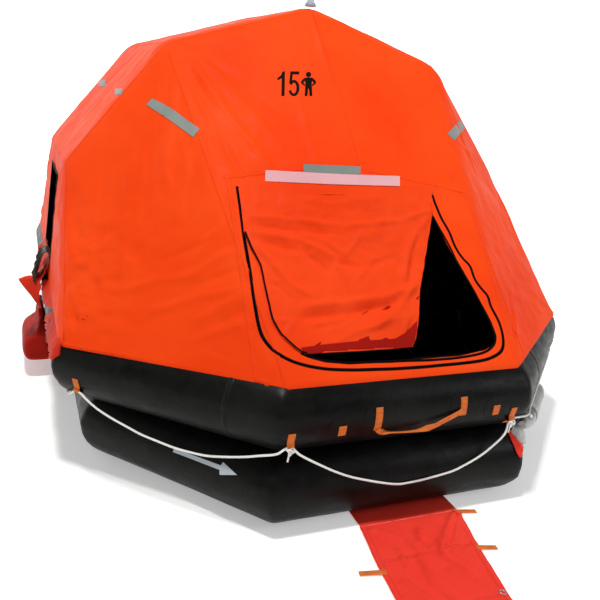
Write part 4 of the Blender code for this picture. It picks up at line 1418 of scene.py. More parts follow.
def build_zips():
    lines = []
    for line, width in ((OUTER_ZIP, ZIP_WIDTH), (FOOT_ZIP, ZIP_WIDTH * 0.8)):
        smooth, _ = seen(PLAIN_SHEET, spaced(smooth_line(line, 6), 1.5))
        points, normals = lay(CANOPY, smooth, sheet_normal(-1), 0.0)
        lines.append(((evened(points, 2), normals), width))
    tapes = [sweep(*line, strap_profile(width, ZIP_THICK, ZIP_SEAT)) for line, width in lines]
    dress("front_zip_tapes", *merged(tapes), zip_cloth, "webbing")
    teeth = [(points + normals * TEETH_LIFT, normals) for (points, normals), _ in lines]
    grains("front_zip_teeth", teeth, TEETH_PITCH, ZIP_TEETH, zip_cloth, "webbing")
    rear = smooth_line([on_sheet(x * 1.03, up, 1) for x, up in REAR_OPENING[1:-1]], 8)
    rear = lay(CANOPY, rear, sheet_normal(1), 0.0)
    dress("rear_zip_tape", *sweep(*rear, strap_profile(ZIP_WIDTH, ZIP_THICK, ZIP_SEAT)), zip_cloth, "webbing")
    grains("rear_zip_teeth", [(rear[0] + rear[1] * TEETH_LIFT, rear[1])], TEETH_PITCH, ZIP_TEETH, zip_cloth,
           "webbing")


build_zips()


# Tapes and prints, their outlines in pixels of the frame

PALE_BAND = ((265.5, 170.5), (265.0, 181.5), (330, 184.5), (399.5, 186.5), (399.5, 176.5), (330, 174))
GREY_TAPES = (((303.5, 164.5), (303.5, 172.5), (330, 174), (360, 174.5), (360.5, 167), (330, 165.5)),
              ((146.5, 105), (152.5, 98.5), (170, 107.5), (199.5, 129), (193.5, 137.5), (168, 119)),
              ((447, 134), (460, 120.5), (466, 127), (454, 140.5)),
              ((99, 80), (106, 80), (106, 86.5), (99, 86.5)),
              ((115.5, 89), (122.5, 89), (122.5, 95), (115.5, 95)))


def digit_outlines(left, top, width, height, slant):
    """A plain 1 and 5, drawn from straight runs and arcs."""
    def at(x, y):
        return (left + width * x + slant * (1 - y), top + height * (1 - y))

    one = [at(*p) for p in ((0.03, 0.74), (0.16, 0.82), (0.24, 1.0), (0.34, 1.0), (0.34, 0.0), (0.21, 0.0),
                            (0.21, 0.73), (0.03, 0.64))]
    bowl = [(0.735 + 0.235 * math.cos(a), 0.32 + 0.33 * math.sin(a))
            for a in np.linspace(math.radians(150), math.radians(-160), 22)]
    hollow = [(0.73 + 0.115 * math.cos(a), 0.32 + 0.225 * math.sin(a))
              for a in np.linspace(math.radians(-158), math.radians(150), 18)]
    five = [(0.53, 0.52), (0.57, 1.0), (0.95, 1.0), (0.95, 0.88), (0.67, 0.88), (0.655, 0.66)]
    five = [at(*p) for p in five + bowl[3:] + hollow]
    return one, five


def figure_outlines(middle, top, height):
    """A plain standing figure: a round head, and a body with its arms a little out."""
    head = circle(middle, top + height * 0.12, height * 0.105, 18)
    half = ((0.04, 0.24), (0.16, 0.26), (0.22, 0.31), (0.31, 0.42), (0.29, 0.48), (0.150, 0.585),
            (0.140, 0.535),
            (0.215, 0.45), (0.135, 0.37), (0.125, 0.50), (0.135, 0.64), (0.150, 0.98), (0.045, 0.98),
            (0.016, 0.68))
    body = [(middle + height * x, top + height * y) for x, y in half]
    body += [(middle - height * x, top + height * y) for x, y in reversed(half)]
    return head, body


def build_tapes_and_prints():
    dress("pale_band", *seen_patch(CANOPY_AND_FLAP, PALE_BAND, 2.5, 0.0034), band_tape, "canopy_fabric")
    tapes = [seen_patch(CANOPY, outline, 3.0, 0.0030) for outline in GREY_TAPES]
    dress("grey_tapes", *merged(tapes), grey_tape, "canopy_fabric")
    shapes = digit_outlines(277.0, 71.5, 23.5, 24.5, -0.5) + figure_outlines(308.5, 71.5, 25.0)
    marks = [seen_patch(CANOPY, outline, 1.6, 0.0009) for outline in shapes]
    dress("capacity_mark", *merged(marks), print_ink, "canopy_fabric", sharp=30)


build_tapes_and_prints()

# Lines with the webbing loops that hold them

OUTER_HOLDS = ((-0.015, 0.985), (0.941,), (1 / 3, 2 / 3), (0.059,))
INNER_HOLDS = ((0.5,), (0.5,), (1 / 6, 0.5, 5 / 6), (0.5,))
KNOTTED = (0, 1, 9)
HOLD_DEGREES, ROPE_RADIUS, ROPE_LIFT = -30.0, 0.0047, 0.0099
UPPER_ROOM, LOWER_ROOM = 0.010, 0.0015
LOOP_WIDTH, LOOP_THICK, LOOP_STITCH = 0.030, 0.0022, (0.0030, 0.0009, 0.0008)
STRAP_STITCH, STITCH_PITCH = (0.0032, 0.0010, 0.0009), 0.0042
# The front swag as (x, z) before the tubes, and the left one in pixels of the frame
FRONT_SWAG = ((-0.479, 0.36), (-0.393, 0.305), (-0.304, 0.255), (-0.214, 0.217), (-0.066, 0.176),
              (0.017, 0.172),
              (0.110, 0.179), (0.205, 0.191), (0.262, 0.206), (0.345, 0.242), (0.412, 0.290), (0.455, 0.335))
LEFT_SWAG = ((87.7, 400.7), (97.8, 409.3), (112.2, 418.6), (126.7, 426.7), (141.1, 434.5), (155.6, 440.5),
             (175.8, 448.3), (201.8, 455.0), (219.1, 456.7), (242.2, 457.0), (259.6, 455.8), (276.9, 454.1))
FRONT_SWAG_Y, LEFT_SWAG_OUT, SWAG_BULGE = -2.05, 0.164, 0.010
SIDE_DROP, INNER_DROP, SWAG_STEPS = 0.11, 0.05, 12


def line_holds(shares, within=False):
    """Where a line is held: the place, the direction out of the tube, the edge and the share along it."""
    degrees = 180.0 - HOLD_DEGREES if within else HOLD_DEGREES
    return [(on_tube("upper", edge, share, degrees, ROPE_LIFT),
             tube_normal("upper", edge, math.radians(degrees)),
             edge, share) for edge in range(8) for share in shares[edge % 4]]


def clear_of_tubes(point):
    """A point of the outer line, moved out where it would lie in a tube."""
    for tube, room in (("upper", UPPER_ROOM), ("lower", LOWER_ROOM)):
        needed = TUBE_RADIUS + ROPE_RADIUS + room
        rise = point[2] - HEIGHTS[tube]
        if abs(rise) >= needed:
            continue
        outs = [tube_outwards(tube, edge) for edge in range(8)]
        reaches = [float((point[:2] - corner) @ out[:2]) for corner, out in zip(octagon(tube), outs)]
        edge = int(np.argmax(reaches))
        short = math.sqrt(needed ** 2 - rise ** 2) - reaches[edge]
        if short > 0:
            point = point + outs[edge] * short
    return point


def swag_between(here, there, drop, steps=SWAG_STEPS):
    """The inner points of a line's swag between two holds."""
    out = here[1] + there[1]
    out = unit(np.array((out[0], out[1], 0.0)))
    made = []
    for share in (step / steps for step in range(1, steps)):
        sag = 4 * share * (1 - share)
        made.append(here[0] + (there[0] - here[0]) * share + out * SWAG_BULGE * sag - np.array((0, 0,
                                                                                                drop * sag)))
    return made


def outer_line():
    holds = line_holds(OUTER_HOLDS)
    path, eye = [], np.array(CAMERA_PLACE)
    left_out = tube_outwards("upper", 7)
    left_plane = np.array((*octagon("upper")[7], 0.0)) + left_out * LEFT_SWAG_OUT
    for here, there in zip(holds, holds[1:] + holds[:1]):
        edges = (here[2], there[2])
        if edges == (0, 0):
            middle = [np.array((x, FRONT_SWAG_Y, z)) for x, z in FRONT_SWAG]
        elif edges == (7, 0):
            ways = [np.array(sight(x, y)) for x, y in LEFT_SWAG]
            middle = [eye + way * float((left_plane - eye) @ left_out) / float(way @ left_out)
                      for way in ways]
        else:
            drop = 0.19 if edges == (4, 4) else 0.0 if edges == (0, 1) else SIDE_DROP
            middle = swag_between(here, there, drop)
        path += [here[0]] + [clear_of_tubes(p) for p in middle]
    return smooth_line(path, 6, closed=True), holds


def hold_loop(hold, within=False):
    """A short webbing strap sewn to the tube above and below the line, and passing over it."""
    _, _, edge, share = hold
    route = ((-9, 0.0010), (-15, 0.0010), (-21, 0.0012), (-24.5, 0.0022), (-26.5, 0.0075), (-28.2, 0.0132),
             (-30, 0.0150), (-31.8, 0.0132), (-33.5, 0.0075), (-35.5, 0.0022), (-39, 0.0012), (-46, 0.0010))
    line, normals = [], []
    for degrees, lift in route:
        degrees = 180 - degrees if within else degrees
        line.append(on_tube("upper", edge, share, degrees, lift))
        normals.append(tube_normal("upper", edge, math.radians(degrees)))
    return smooth_line(line, 3), smooth_line(normals, 3)


def knot(place, out):
    """A knot in the line with a short tail below it."""
    side = unit(np.cross(out, (0.0, 0.0, 1.0)))
    turns = []
    for t in np.linspace(0, math.tau, 40)[:-1]:
        a, b = math.sin(t) + 2 * math.sin(2 * t), math.cos(t) - 2 * math.cos(2 * t)
        turns.append(place + side * a * 0.0052 + np.array((0, 0, b * 0.0052 - 0.010))
                     + out * (0.009 - 0.0045 * math.sin(3 * t)))
    tail = [place + out * 0.010 + side * (0.004 + 0.006 * t) + np.array((0, 0, -0.012 - 0.040 * t))
            for t in np.linspace(0, 1, 7)]
    return [sweep(turns, out, round_profile(ROPE_RADIUS * 0.85), closed=True),
            sweep(tail, out, round_profile(ROPE_RADIUS * 0.8))]


def build_lines():
    path, holds = outer_line()
    dress("grab_line_rope", *twisted(path, ROPE_RADIUS, closed=True), rope_fibre, "rope",
          stands_for=("grab_line",))
    knots = [part for number in KNOTTED for part in knot(*holds[number][:2])]
    dress("grab_line_knots", *merged(knots), rope_fibre, "rope")

    def webbing_loops(line, loops):
        straps = [sweep(*loop, strap_profile(LOOP_WIDTH, LOOP_THICK)) for loop in loops]
        dress(f"{line}_loops", *merged(straps), webbing, "webbing", stands_for=(line,))

    loops = [hold_loop(hold) for hold in holds]
    webbing_loops("grab_line", loops)
    rows = [(beside(line, normals, side)[end] + normals[end] * 0.0024, normals[end])
            for line, normals in loops for side in (-0.011, 0.011) for end in (slice(9), slice(-9, None))]
    grains("grab_line_stitches", rows, STITCH_PITCH, LOOP_STITCH, red_thread, "webbing")
    holds = line_holds(INNER_HOLDS, within=True)
    inner = []
    for here, there in zip(holds, holds[1:] + holds[:1]):
        inner += [here[0]] + swag_between(here, there, INNER_DROP, 7)
    dress("inner_line_rope", *twisted(smooth_line(inner, 4, closed=True), 0.0040, closed=True, sides=9),
          shaded_inner_rope,
          "rope", stands_for=("inner_line",))
    webbing_loops("inner_line", [hold_loop(hold, within=True) for hold in holds])


build_lines()


# Handle, patches, arrow and seams on the tubes

HANDLE_ROUTE = ((0.342, -17), (0.352, -21), (0.370, -22.5), (0.410, -23.5), (0.470, -23.5), (0.530, -22.5),
                (0.590, -18.5), (0.630, -13), (0.680, -7), (0.712, -3), (0.727, 1))
HANDLE_LIFT = (0.0050, 0.017)
HANDLE_PATCHES = ((0.342, -20, 16), (0.727, -11, 18))
FRONT_PATCHES = ((0.191, -14), (0.891, -9))
ROUND_PATCHES = ((0.345, 3, 0.066), (0.727, 4, 0.066), (0.891, -8, 0.060), (0.191, -12, 0.060))
ARROW = ((0.467, 0.0535), (0.704, 0.0565), (0.709, 0.0378), (0.786, 0.0632), (0.709, 0.0896), (0.704, 0.0745),
         (0.467, 0.0700))
# Strips around the tubes as (edge, metres along it)
TUBE_SEAMS = {
    "upper": ((7, 0.815), (1, 0.22), (2, 0.25), (2, 0.62), (3, 0.7), (4, 0.12), (5, 0.4), (6, 0.3), (6, 0.7)),
    "lower": ((1, 0.6), (2, 0.45), (2, 0.8), (3, 0.3), (4, 0.5), (5, 0.7), (6, 0.5)),
}


def handle_strap():
    first, last = HANDLE_ROUTE[0][0], HANDLE_ROUTE[-1][0]
    line, normals = [], []
    for along, degrees in HANDLE_ROUTE:
        share = (along - first) / (last - first)
        lift = HANDLE_LIFT[0] + HANDLE_LIFT[1] * math.sin(math.pi * share)
        line.append(on_tube("upper", 0, along, degrees, lift))
        radial = tube_normal("upper", 0, math.radians(degrees))
        edge_on = np.array((0.0, 0.22, 1.0))
        lying = float(np.interp(share, (0.0, 0.05, 0.14, 0.42, 0.66, 1.0), (0.0, 0.35, 1.0, 1.0, 0.15, 0.0)))
        normals.append(tube_normal("upper", 0, math.radians(degrees)) * (1 - lying) + edge_on * lying)
    return smooth_line(line, 6), smooth_line(normals, 6)


def build_tube_trim():
    straps = [sweep(*handle_strap(), strap_profile(0.024, 0.0024, -0.0012))]
    rows = []
    for along, low, high in HANDLE_PATCHES:
        bottom, top = (TUBE_RADIUS * math.radians(v) for v in (low, high))
        outline = box_outline(along, (bottom + top) / 2, 0.030, top - bottom)
        straps.append(tube_patch("upper", 0, outline, 0.008, 0.0032))
        rows.append([(along + x, y) for x, y in ((-0.011, bottom + 0.006), (-0.011, top - 0.006),
                                                 (0.011, top - 0.006),
                                                 (0.011, bottom + 0.006), (-0.011, bottom + 0.006))])
    dress("front_handle_webbing", *merged(straps), webbing, "webbing", stands_for=("front_handle",))
    for name, (along, degrees) in zip(("left", "right"), FRONT_PATCHES):
        middle = TUBE_RADIUS * math.radians(degrees)
        outline = box_outline(along, middle, 0.031, 0.045, 0.03)
        shape = tube_patch("upper", 0, outline, 0.007, 0.0042)
        dress(f"front_patch_{name}_webbing", *shape, webbing, "webbing", stands_for=(f"front_patch_{name}",))
        rows.append([(along + x, middle + y) for x, y in ((-0.011, -0.018), (0.011, 0.018), (0.011, -0.018),
                                                          (-0.011, 0.018), (-0.011, -0.018))])
    lines = [laid_on_tube("upper", 0, spaced(row, 0.006), 0.0044) for row in rows]
    grains("handle_stitches", lines, STITCH_PITCH, STRAP_STITCH, red_thread, "webbing")
    rounds = [tube_patch("upper", 0, circle(along, TUBE_RADIUS * math.radians(degrees), radius), 0.010,
                         0.0011)
              for along, degrees, radius in ROUND_PATCHES]
    dress("round_patches", *merged(rounds), patch_rubber, "tube_rubber")
    dress("stowing_arrow", *tube_patch("lower", 7, ARROW, 0.012, 0.0008), arrow_ink, "tube_rubber")


def build_tube_seams():
    """Lapped strips around the tubes, and the web that joins the two tubes."""
    strips = []
    for tube, places in TUBE_SEAMS.items():
        for edge, along in places:
            turns = np.linspace(0, 360, 49)[:-1]
            rough = [on_tube(tube, edge, along, turn) for turn in turns]
            outwards = [tube_normal(tube, edge, math.radians(turn)) for turn in turns]
            line, normals = lay(TUBES[tube], rough, outwards, 0.0, reach=0.05)
            line[:, 2] = np.maximum(line[:, 2], 0.0013)
            strips.append(sweep(line, normals, strap_profile(0.026, 0.0022, -0.0010), closed=True))
    upper, lower = octagon("upper"), octagon("lower")
    height = np.full((8, 1), 2 * TUBE_RADIUS)
    web = np.array(((-1, -1), (1, -1), (1, 1), (-1, 1))) * (0.0016, 0.040)
    strips.append(sweep(np.hstack([(upper + lower) / 2, height]), units(np.hstack([upper - lower, height])),
                        web,
                        closed=True))
    dress("tube_seam_strips", *merged(strips), patch_rubber, "tube_rubber")


build_tube_trim()
build_tube_seams()


# Boarding ramp on the floor and its apron

RAMP_LEFT = ((-0.200, -2.064), (-0.237, -2.274), (-0.263, -2.488), (-0.300, -2.690), (-0.340, -2.900))
RAMP_RIGHT = ((0.260, -2.064), (0.226, -2.220), (0.192, -2.363), (0.143, -2.589), (0.105, -2.900))
# Folds of the ramp's cloth as (places on the floor, half width, height)
RAMP_FOLDS = ((((0.232, -2.085), (0.118, -2.200), (0.060, -2.274)), 0.014, 0.012),
              (((0.240, -2.110), (0.150, -2.225), (0.110, -2.274)), 0.012, 0.010),
              (((-0.165, -2.100), (-0.060, -2.190), (-0.040, -2.270)), 0.013, 0.010),
              (((0.020, -2.150), (-0.010, -2.215), (0.010, -2.272)), 0.010, 0.011),
              (((0.060, -2.240), (0.030, -2.330), (0.075, -2.440)), 0.012, 0.011),
              (((-0.120, -2.240), (-0.135, -2.350)), 0.012, 0.009),
              (((0.075, -2.300), (0.110, -2.420)), 0.016, 0.010),
              (((-0.060, -2.300), (-0.090, -2.450), (-0.060, -2.560)), 0.014, 0.011),
              (((0.010, -2.400), (0.090, -2.520)), 0.012, 0.009),
              (((-0.190, -2.420), (-0.130, -2.580)), 0.014, 0.010))
RAMP_FOLD_RISE = 1.4
RAMP_ROWS, RAMP_COLUMNS = 110, 58
RAMP_THICK, RAMP_SEAT = 0.0022, 0.0012
RAMP_TABS = (((0.236, -2.074), (0.336, -2.094)), ((0.190, -2.311), (0.272, -2.330)),
             ((-0.225, -2.345), (-0.325, -2.322)), ((-0.262, -2.640), (-0.345, -2.632)),
             ((0.120, -2.700), (0.192, -2.714)))


def ramp_place(across, down):
    """A place of the ramp on the floor: across it from 0 to 1, and down it from its hinge."""
    y = RAMP_LEFT[0][1] + (RAMP_LEFT[-1][1] - RAMP_LEFT[0][1]) * down
    left, right = (float(np.interp(-y, [-v for _, v in side], [x for x, _ in side]))
                   for side in (RAMP_LEFT, RAMP_RIGHT))
    return np.array((left + (right - left) * across, y, 0.0))


def ramp_height(point):
    x, y = point[0], point[1]
    wave = noise.noise(Vector((x * 7 + y * 3.2, y * 3.0 - x * 2.0, 0.4)))
    fine = noise.noise(Vector((x * 22 + y * 8, y * 12, 2.4)))
    cross = math.exp(-((y + 2.284 + 0.02 * math.sin(x * 20)) / 0.010) ** 2)
    near_hinge = min(1.0, max(0.0, (-2.066 - y) / 0.04))
    fan = sum(RAMP_FOLD_RISE * high * math.exp(-(distance_to_line([(x, y)], line)[0] / wide) ** 2)
              for line, wide, high in RAMP_FOLDS)
    return max(0.0, 0.0030 + 0.0080 * wave + 0.0040 * fine + fan) * near_hinge - 0.0030 * cross * near_hinge


def build_ramp():
    rows = [ramp_place(c / RAMP_COLUMNS, r / RAMP_ROWS) for r in range(RAMP_ROWS + 1)
            for c in range(RAMP_COLUMNS + 1)]
    points = np.array(rows)
    points[:, 2] = [RAMP_SEAT + RAMP_THICK + max(0.0, ramp_height(p)) for p in points]
    faces = facing(points, grid_faces(RAMP_COLUMNS + 1, RAMP_ROWS + 1), UP)
    tree = tree_of(points, faces)
    cloth = sewn("boarding_ramp_cloth", points, faces, ramp_cloth, "ramp_fabric", RAMP_THICK, body="ramp",
                 stands_for=("boarding_ramp",))
    hems, rows = [], []
    for across in (0.030, 0.970):
        line, normals = lay(tree, [ramp_place(across, d) for d in np.linspace(0.005, 0.995, 90)], UP, 0.0)
        hems.append(sweep(line, normals, strap_profile(0.026, 0.0022, -0.0008)))
        rows += [(beside(line, normals, side) + normals * 0.0015, normals) for side in (-0.009, 0.009)]
    for down in (0.262, 0.274, 0.60, 0.612, 0.985):
        rows.append(lay(tree, [ramp_place(a, down) for a in np.linspace(0.03, 0.97, 50)], UP, 0.0007))
    pieces = [dress("boarding_ramp_hems", *merged(hems), ramp_cloth, "ramp_fabric", body="ramp"),
              grains("boarding_ramp_stitches", rows, 0.0065, (0.0045, 0.0013, 0.0011), dark_thread,
                     "ramp_fabric",
                     body="ramp")]
    straps = []
    for start, end in RAMP_TABS:
        line = np.linspace((*start, 0.0), (*end, 0.0), 9)
        line[:, 2] = lay(tree, line, UP, 0.0008)[0][:, 2]
        line[:, 2] = np.maximum(line[:, 2] * np.linspace(1, 0.4, 9), 0.0022)
        straps.append(sweep(line, UP, strap_profile(0.026, 0.0022, -0.0002)))
    pieces.append(dress("boarding_ramp_tabs", *merged(straps), webbing, "webbing", body="ramp"))
    eye, normals = lay(tree, [(x, y, 0.0) for x, y in circle(0.128, -2.560, 0.012, 24)], UP, 0.0012)
    dress("boarding_ramp_eyelet", *sweep(eye, normals, round_profile(0.0028), closed=True), grey_metal,
          "bottle_metal", body="ramp")
    strip = [(x, y) for y in np.linspace(-2.0612, -1.950, 9) for x in np.linspace(-0.196, 0.260, 30)]
    flat = np.array([(x, y, 0.0046 + 0.0012 * noise.noise(Vector((x * 18, y * 30, 1.0)))) for x, y in strip])
    apron = sewn("ramp_apron_cloth", flat, facing(flat, grid_faces(30, 9), UP), ramp_cloth, "ramp_fabric",
                 0.0026,
                 stands_for=("ramp_apron",))
    return cloth, pieces, apron


RAMP_CLOTH, RAMP_TRIM, APRON_CLOTH = build_ramp()


# Left side: the port's flap, the cloth over its sill, and the red piece below

PORT_FLAP_OUT = ((-1.2875, 0.684), (-1.302, 0.640), (-1.318, 0.606), (-1.352, 0.592), (-1.400, 0.586),
                 (-1.448, 0.578))
PORT_FLAP_DOWN = ((-1.2875, 0.684), (-1.312, 0.640), (-1.330, 0.590), (-1.342, 0.530), (-1.344, 0.470),
                  (-1.338, 0.420))
PORT_FLAP_Y = (0.235, -0.345)
SILL_CLOTH = ((-1.262, 0.716), (-1.290, 0.735), (-1.312, 0.715), (-1.326, 0.675), (-1.338, 0.630),
              (-1.352, 0.585),
              (-1.350, 0.548))
# The pouch's rings as (z, x from, x to, y from, y to)
POUCH_RINGS = ((0.400, -1.343, -1.327, -0.17, -0.02), (0.380, -1.350, -1.326, -0.21, 0.02),
               (0.350, -1.352, -1.325, -0.23, 0.05), (0.318, -1.358, -1.322, -0.24, 0.07),
               (0.288, -1.364, -1.312, -0.26, 0.09), (0.262, -1.372, -1.300, -0.28, 0.11),
               (0.238, -1.402, -1.288, -0.30, 0.13), (0.215, -1.432, -1.282, -0.305, 0.14),
               (0.180, -1.443, -1.277, -0.31, 0.14), (0.145, -1.444, -1.275, -0.31, 0.14),
               (0.118, -1.438, -1.277, -0.305, 0.14), (0.103, -1.424, -1.284, -0.29, 0.13),
               (0.098, -1.395, -1.300, -0.24, 0.08))
POUCH_SIDES, POUCH_SQUARENESS = 44, 0.42
# The creased cloth on the upper tube, in pixels of the frame
SIDE_DRAPE = (((56, 283), (47, 280), (42, 284), (41, 301), (49, 306), (55, 311), (60, 309), (59, 292)),
              ((60, 311.5), (50, 314.5), (45, 317.5), (43, 325), (41, 331), (38, 340), (40, 352), (45, 360),
               (53, 359.5), (60, 355), (62, 335)))


def rounded(angle, power):
    """A place on a rounded square of half width 1."""
    return tuple(math.copysign(abs(v) ** power, v) for v in (math.cos(angle), math.sin(angle)))


def build_port_flap():
    columns, rows = 46, 60
    out, down = (smooth_line([(x, 0.0, z) for x, z in line], 12) for line in (PORT_FLAP_OUT, PORT_FLAP_DOWN))
    points = []
    for t in np.linspace(0, 1, rows):
        turn = float(np.interp(t, (0.0, 0.60, 0.86, 0.93, 1.0), (1.0, 0.9, 0.0, 0.05, 1.0)))
        y = PORT_FLAP_Y[0] + (PORT_FLAP_Y[1] - PORT_FLAP_Y[0]) * t
        for v in np.linspace(0, 1, columns):
            at = v * (len(out) - 1)
            a, b = (np.array([np.interp(at, range(len(line)), line[:, k]) for k in range(3)])
                    for line in (out, down))
            p = a + (b - a) * turn
            points.append((p[0], y, p[2]))
    points = np.array(points)
    faces = facing(points, grid_faces(columns, rows), (-0.5, -0.3, 1.0))
    hang = np.clip((0.675 - points[:, 2]) / 0.05, 0, 1)
    crumple = soft(points, (0.014, 0.065, 9), (0.010, 0.030, 10))
    normals = normals_of(points, faces)
    points = points + normals * (np.maximum(crumple, -0.004) * hang)[:, None]
    flap = sewn("port_flap_cloth", points, faces, drape_cloth, "canopy_fabric", body="port_flap",
                stands_for=("side_flap",))
    route = smooth_line([(x, 0.0, z) for x, z in SILL_CLOTH], 7)
    points = []
    for k, y in enumerate(np.linspace(-0.335, -0.18, 22)):
        for x, _, z in route:
            slack = 0.010 * math.sin(k * 1.3 + z * 42) + 0.006 * math.sin(k * 2.9 - z * 65)
            points.append((x - max(slack, -0.002) * (1 if z < 0.72 else 0.2) - 0.012,
                           y + 0.12 * (0.72 - z) * 0.4, z))
    points = np.array(points)
    faces = facing(points, grid_faces(len(route), 22), (-1.0, -0.2, 0.3))
    return flap, sewn("port_sill_cloth", points, faces, glossy_cloth, "pocket_fabric", body="port_flap")


def build_pouch():
    points, line = [], smooth_line(POUCH_RINGS, 5)
    for z, x0, x1, y0, y1 in line:
        for k in range(POUCH_SIDES):
            a, b = rounded(math.tau * k / POUCH_SIDES, POUCH_SQUARENESS)
            points.append(((x0 + x1) / 2 + (x1 - x0) / 2 * a, (y0 + y1) / 2 + (y1 - y0) / 2 * b, z))
    points = np.array(points)
    centres = points.reshape(len(line), POUCH_SIDES, 3).mean(axis=1)
    faces = facing(points, capped_faces(POUCH_SIDES, len(line)),
                   points - np.repeat(centres, POUCH_SIDES, axis=0))
    neck = np.clip((points[:, 2] - 0.215) / 0.06, 0.12, 1)
    crumple = soft(points, (0.010, 0.045, 12), (0.006, 0.02, 13)) * neck
    points = points + normals_of(points, faces) * np.clip(crumple, -0.006, 0.006)[:, None]
    points[:, 0] = np.minimum(points[:, 0], np.where(points[:, 2] > 0.31, -1.3245, -1.2))
    drape = merged([seen_patch(TUBES["upper"], outline, 1.7, 0.010) for outline in SIDE_DRAPE])
    slack = soft(drape[0], (0.007, 0.05, 15), (0.005, 0.022, 16))
    drape = (drape[0] + np.array((-0.8, -0.5, 0.3)) * np.maximum(slack, -0.003)[:, None], drape[1])
    return (dress("red_side_pouch", points, faces, pouch_cloth, "ramp_fabric", stands_for=("side_ramp",)),
            dress("red_side_drape", *drape, drape_cloth, "ramp_fabric"))


PORT_FLAP, SILL_PIECE = build_port_flap()
POUCH, DRAPE = build_pouch()


# Gas bottle, its sleeve, and what shows of them at the front right corner

BOTTLE_RADIUS, BOTTLE_LENGTH, BOTTLE_START, BOTTLE_Z = 0.048, 0.42, 0.07, 0.312
SLEEVE_THICK, SLEEVE_LENGTH = 0.0035, 0.26


def turned(profile, centre, axis, sides=40):
    """A shape turned about an axis. The profile is (place along the axis, radius)."""
    axis = unit(np.asarray(axis, float))
    side = unit(np.cross(axis, (0.0, 0.0, 1.0)) if abs(axis[2]) < 0.9 else np.array((1.0, 0.0, 0.0)))
    other = np.cross(axis, side)
    points = np.array([centre + axis * along + (side * math.cos(a) + other * math.sin(a)) * radius
                       for along, radius in profile for a in (math.tau * k / sides for k in range(sides))])
    return points, facing(points, capped_faces(sides, len(profile)), points - points.mean(axis=0))


def build_bottle():
    corners = octagon("upper")
    run = unit(corners[2] - corners[1])
    out = np.array((run[1], -run[0]))
    distance = TUBE_RADIUS + 0.0004 + SLEEVE_THICK + BOTTLE_RADIUS
    reach = math.sqrt(distance ** 2 - (UPPER_Z - BOTTLE_Z) ** 2)
    flat = corners[1] + run * (BOTTLE_START + BOTTLE_LENGTH / 2) + out * reach
    centre, axis = np.array((*flat, BOTTLE_Z)), np.array((*run, 0.0))
    half, r = BOTTLE_LENGTH / 2, BOTTLE_RADIUS
    bends = np.linspace(0, math.pi / 2, 9)
    dome = [(0.042 * (1 - math.cos(a)) - half, 0.018 + (r - 0.018) * math.sin(a)) for a in bends]
    back = [(half - 0.036 * (1 - math.cos(a)), 0.004 + (r - 0.004) * math.sin(a)) for a in bends[::-1]]
    neck = [(along - half, radius) for along, radius in
            ((-0.036, 0.009), (-0.036, 0.0165), (-0.030, 0.018), (-0.014, 0.018), (-0.012, 0.015),
             (-0.004, 0.015),
             (-0.002, 0.018))]
    dress("gas_bottle_body", *turned(neck + dome + back, centre, axis), grey_metal, "bottle_metal",
          stands_for=("gas_bottle",), sharp=35)
    s, outer, hem = SLEEVE_LENGTH / 2, r + SLEEVE_THICK, 0.0012
    first = [(-s, r + 0.0006), (-s, outer + hem), (0.014 - s, outer + hem), (0.016 - s, outer),
             (0.05 - s, outer - 0.0006)]
    profile = first + [(0, outer)] + [(-along, radius) for along, radius in reversed(first)]
    points, _ = turned(profile, centre, axis, 56)
    middle = centre + np.outer((points - centre) @ axis, axis)
    faces = facing(points, grid_faces(56, 11, round_columns=True, round_rows=True), points - middle)
    points = points + (points - middle) * (0.016 * softness(points, 0.03, 14))[:, None]
    dress("bottle_sleeve_cloth", points, faces, silver_cloth, "ramp_fabric", stands_for=("bottle_sleeve",))


# Red and silver cloth at the front right corner, in pixels of the frame
SLEEVE_STRAP = ((507.5, 432), (512.5, 430), (518, 440), (522.5, 447), (521, 455), (519.5, 457.5),
                (516.5, 453))
SILVER_WRAP = ((511, 424), (516, 422), (520, 429), (524, 437), (522.5, 444), (518.5, 443), (514, 437),
               (509.5, 432))


def build_corner_details():
    both = []
    for tube in ("upper", "lower"):
        points = np.array([tube_point(tube, edge, along, angle, TUBE_RADIUS + 0.002) for edge in range(8)
                           for along in (0.0, 0.5) for angle in np.linspace(0, math.tau, 25)[:-1]])
        both.append((points, tube_faces(points, 24)))
    tree = tree_of(*merged(both))
    dress("sleeve_strap", *seen_patch(tree, SLEEVE_STRAP, 1.6, 0.006), ramp_cloth, "ramp_fabric")
    points, faces = seen_patch(tree, SILVER_WRAP, 1.3, 0.013)
    points = points + 0.004 * np.stack([softness(points, 0.014, 20 + k) for k in range(3)], axis=1)
    dress("silver_wrap", points, faces, silver_cloth, "bottle_metal", sharp=25)


build_bottle()
build_corner_details()


# Lamp, arches, floor, folded pockets and the rear ladder

LAMP_PLACE = (0.0, -CREASE_Y + 0.03, PEAK_Z + 0.0002)
ARCH_RADIUS, ARCH_INSET, ARCH_SETBACK, ARCH_BEND = 0.085, 0.112, 0.055, 0.22
FLOOR_HIGH, FLOOR_EDGE, FLOOR_LOW, FLOOR_UNDERSIDE = 0.050, 0.0492, 0.036, 0.0112
CHANNEL, CHANNEL_RISE = 0.17, 0.017
POCKET_LAYERS = ((0.612, 0.432), (0.560, 0.424), (0.590, 0.400))
POCKET_COLUMNS, POCKET_ROWS = 30, 22
POCKET_PLACES = ((-0.42, -0.75), (0.42, -0.75), (-0.42, 0.75), (0.42, 0.75))
LADDER_Y, LADDER_HALF, LADDER_RUNGS = 2.071, 0.17, (0.07, 0.20, 0.33)


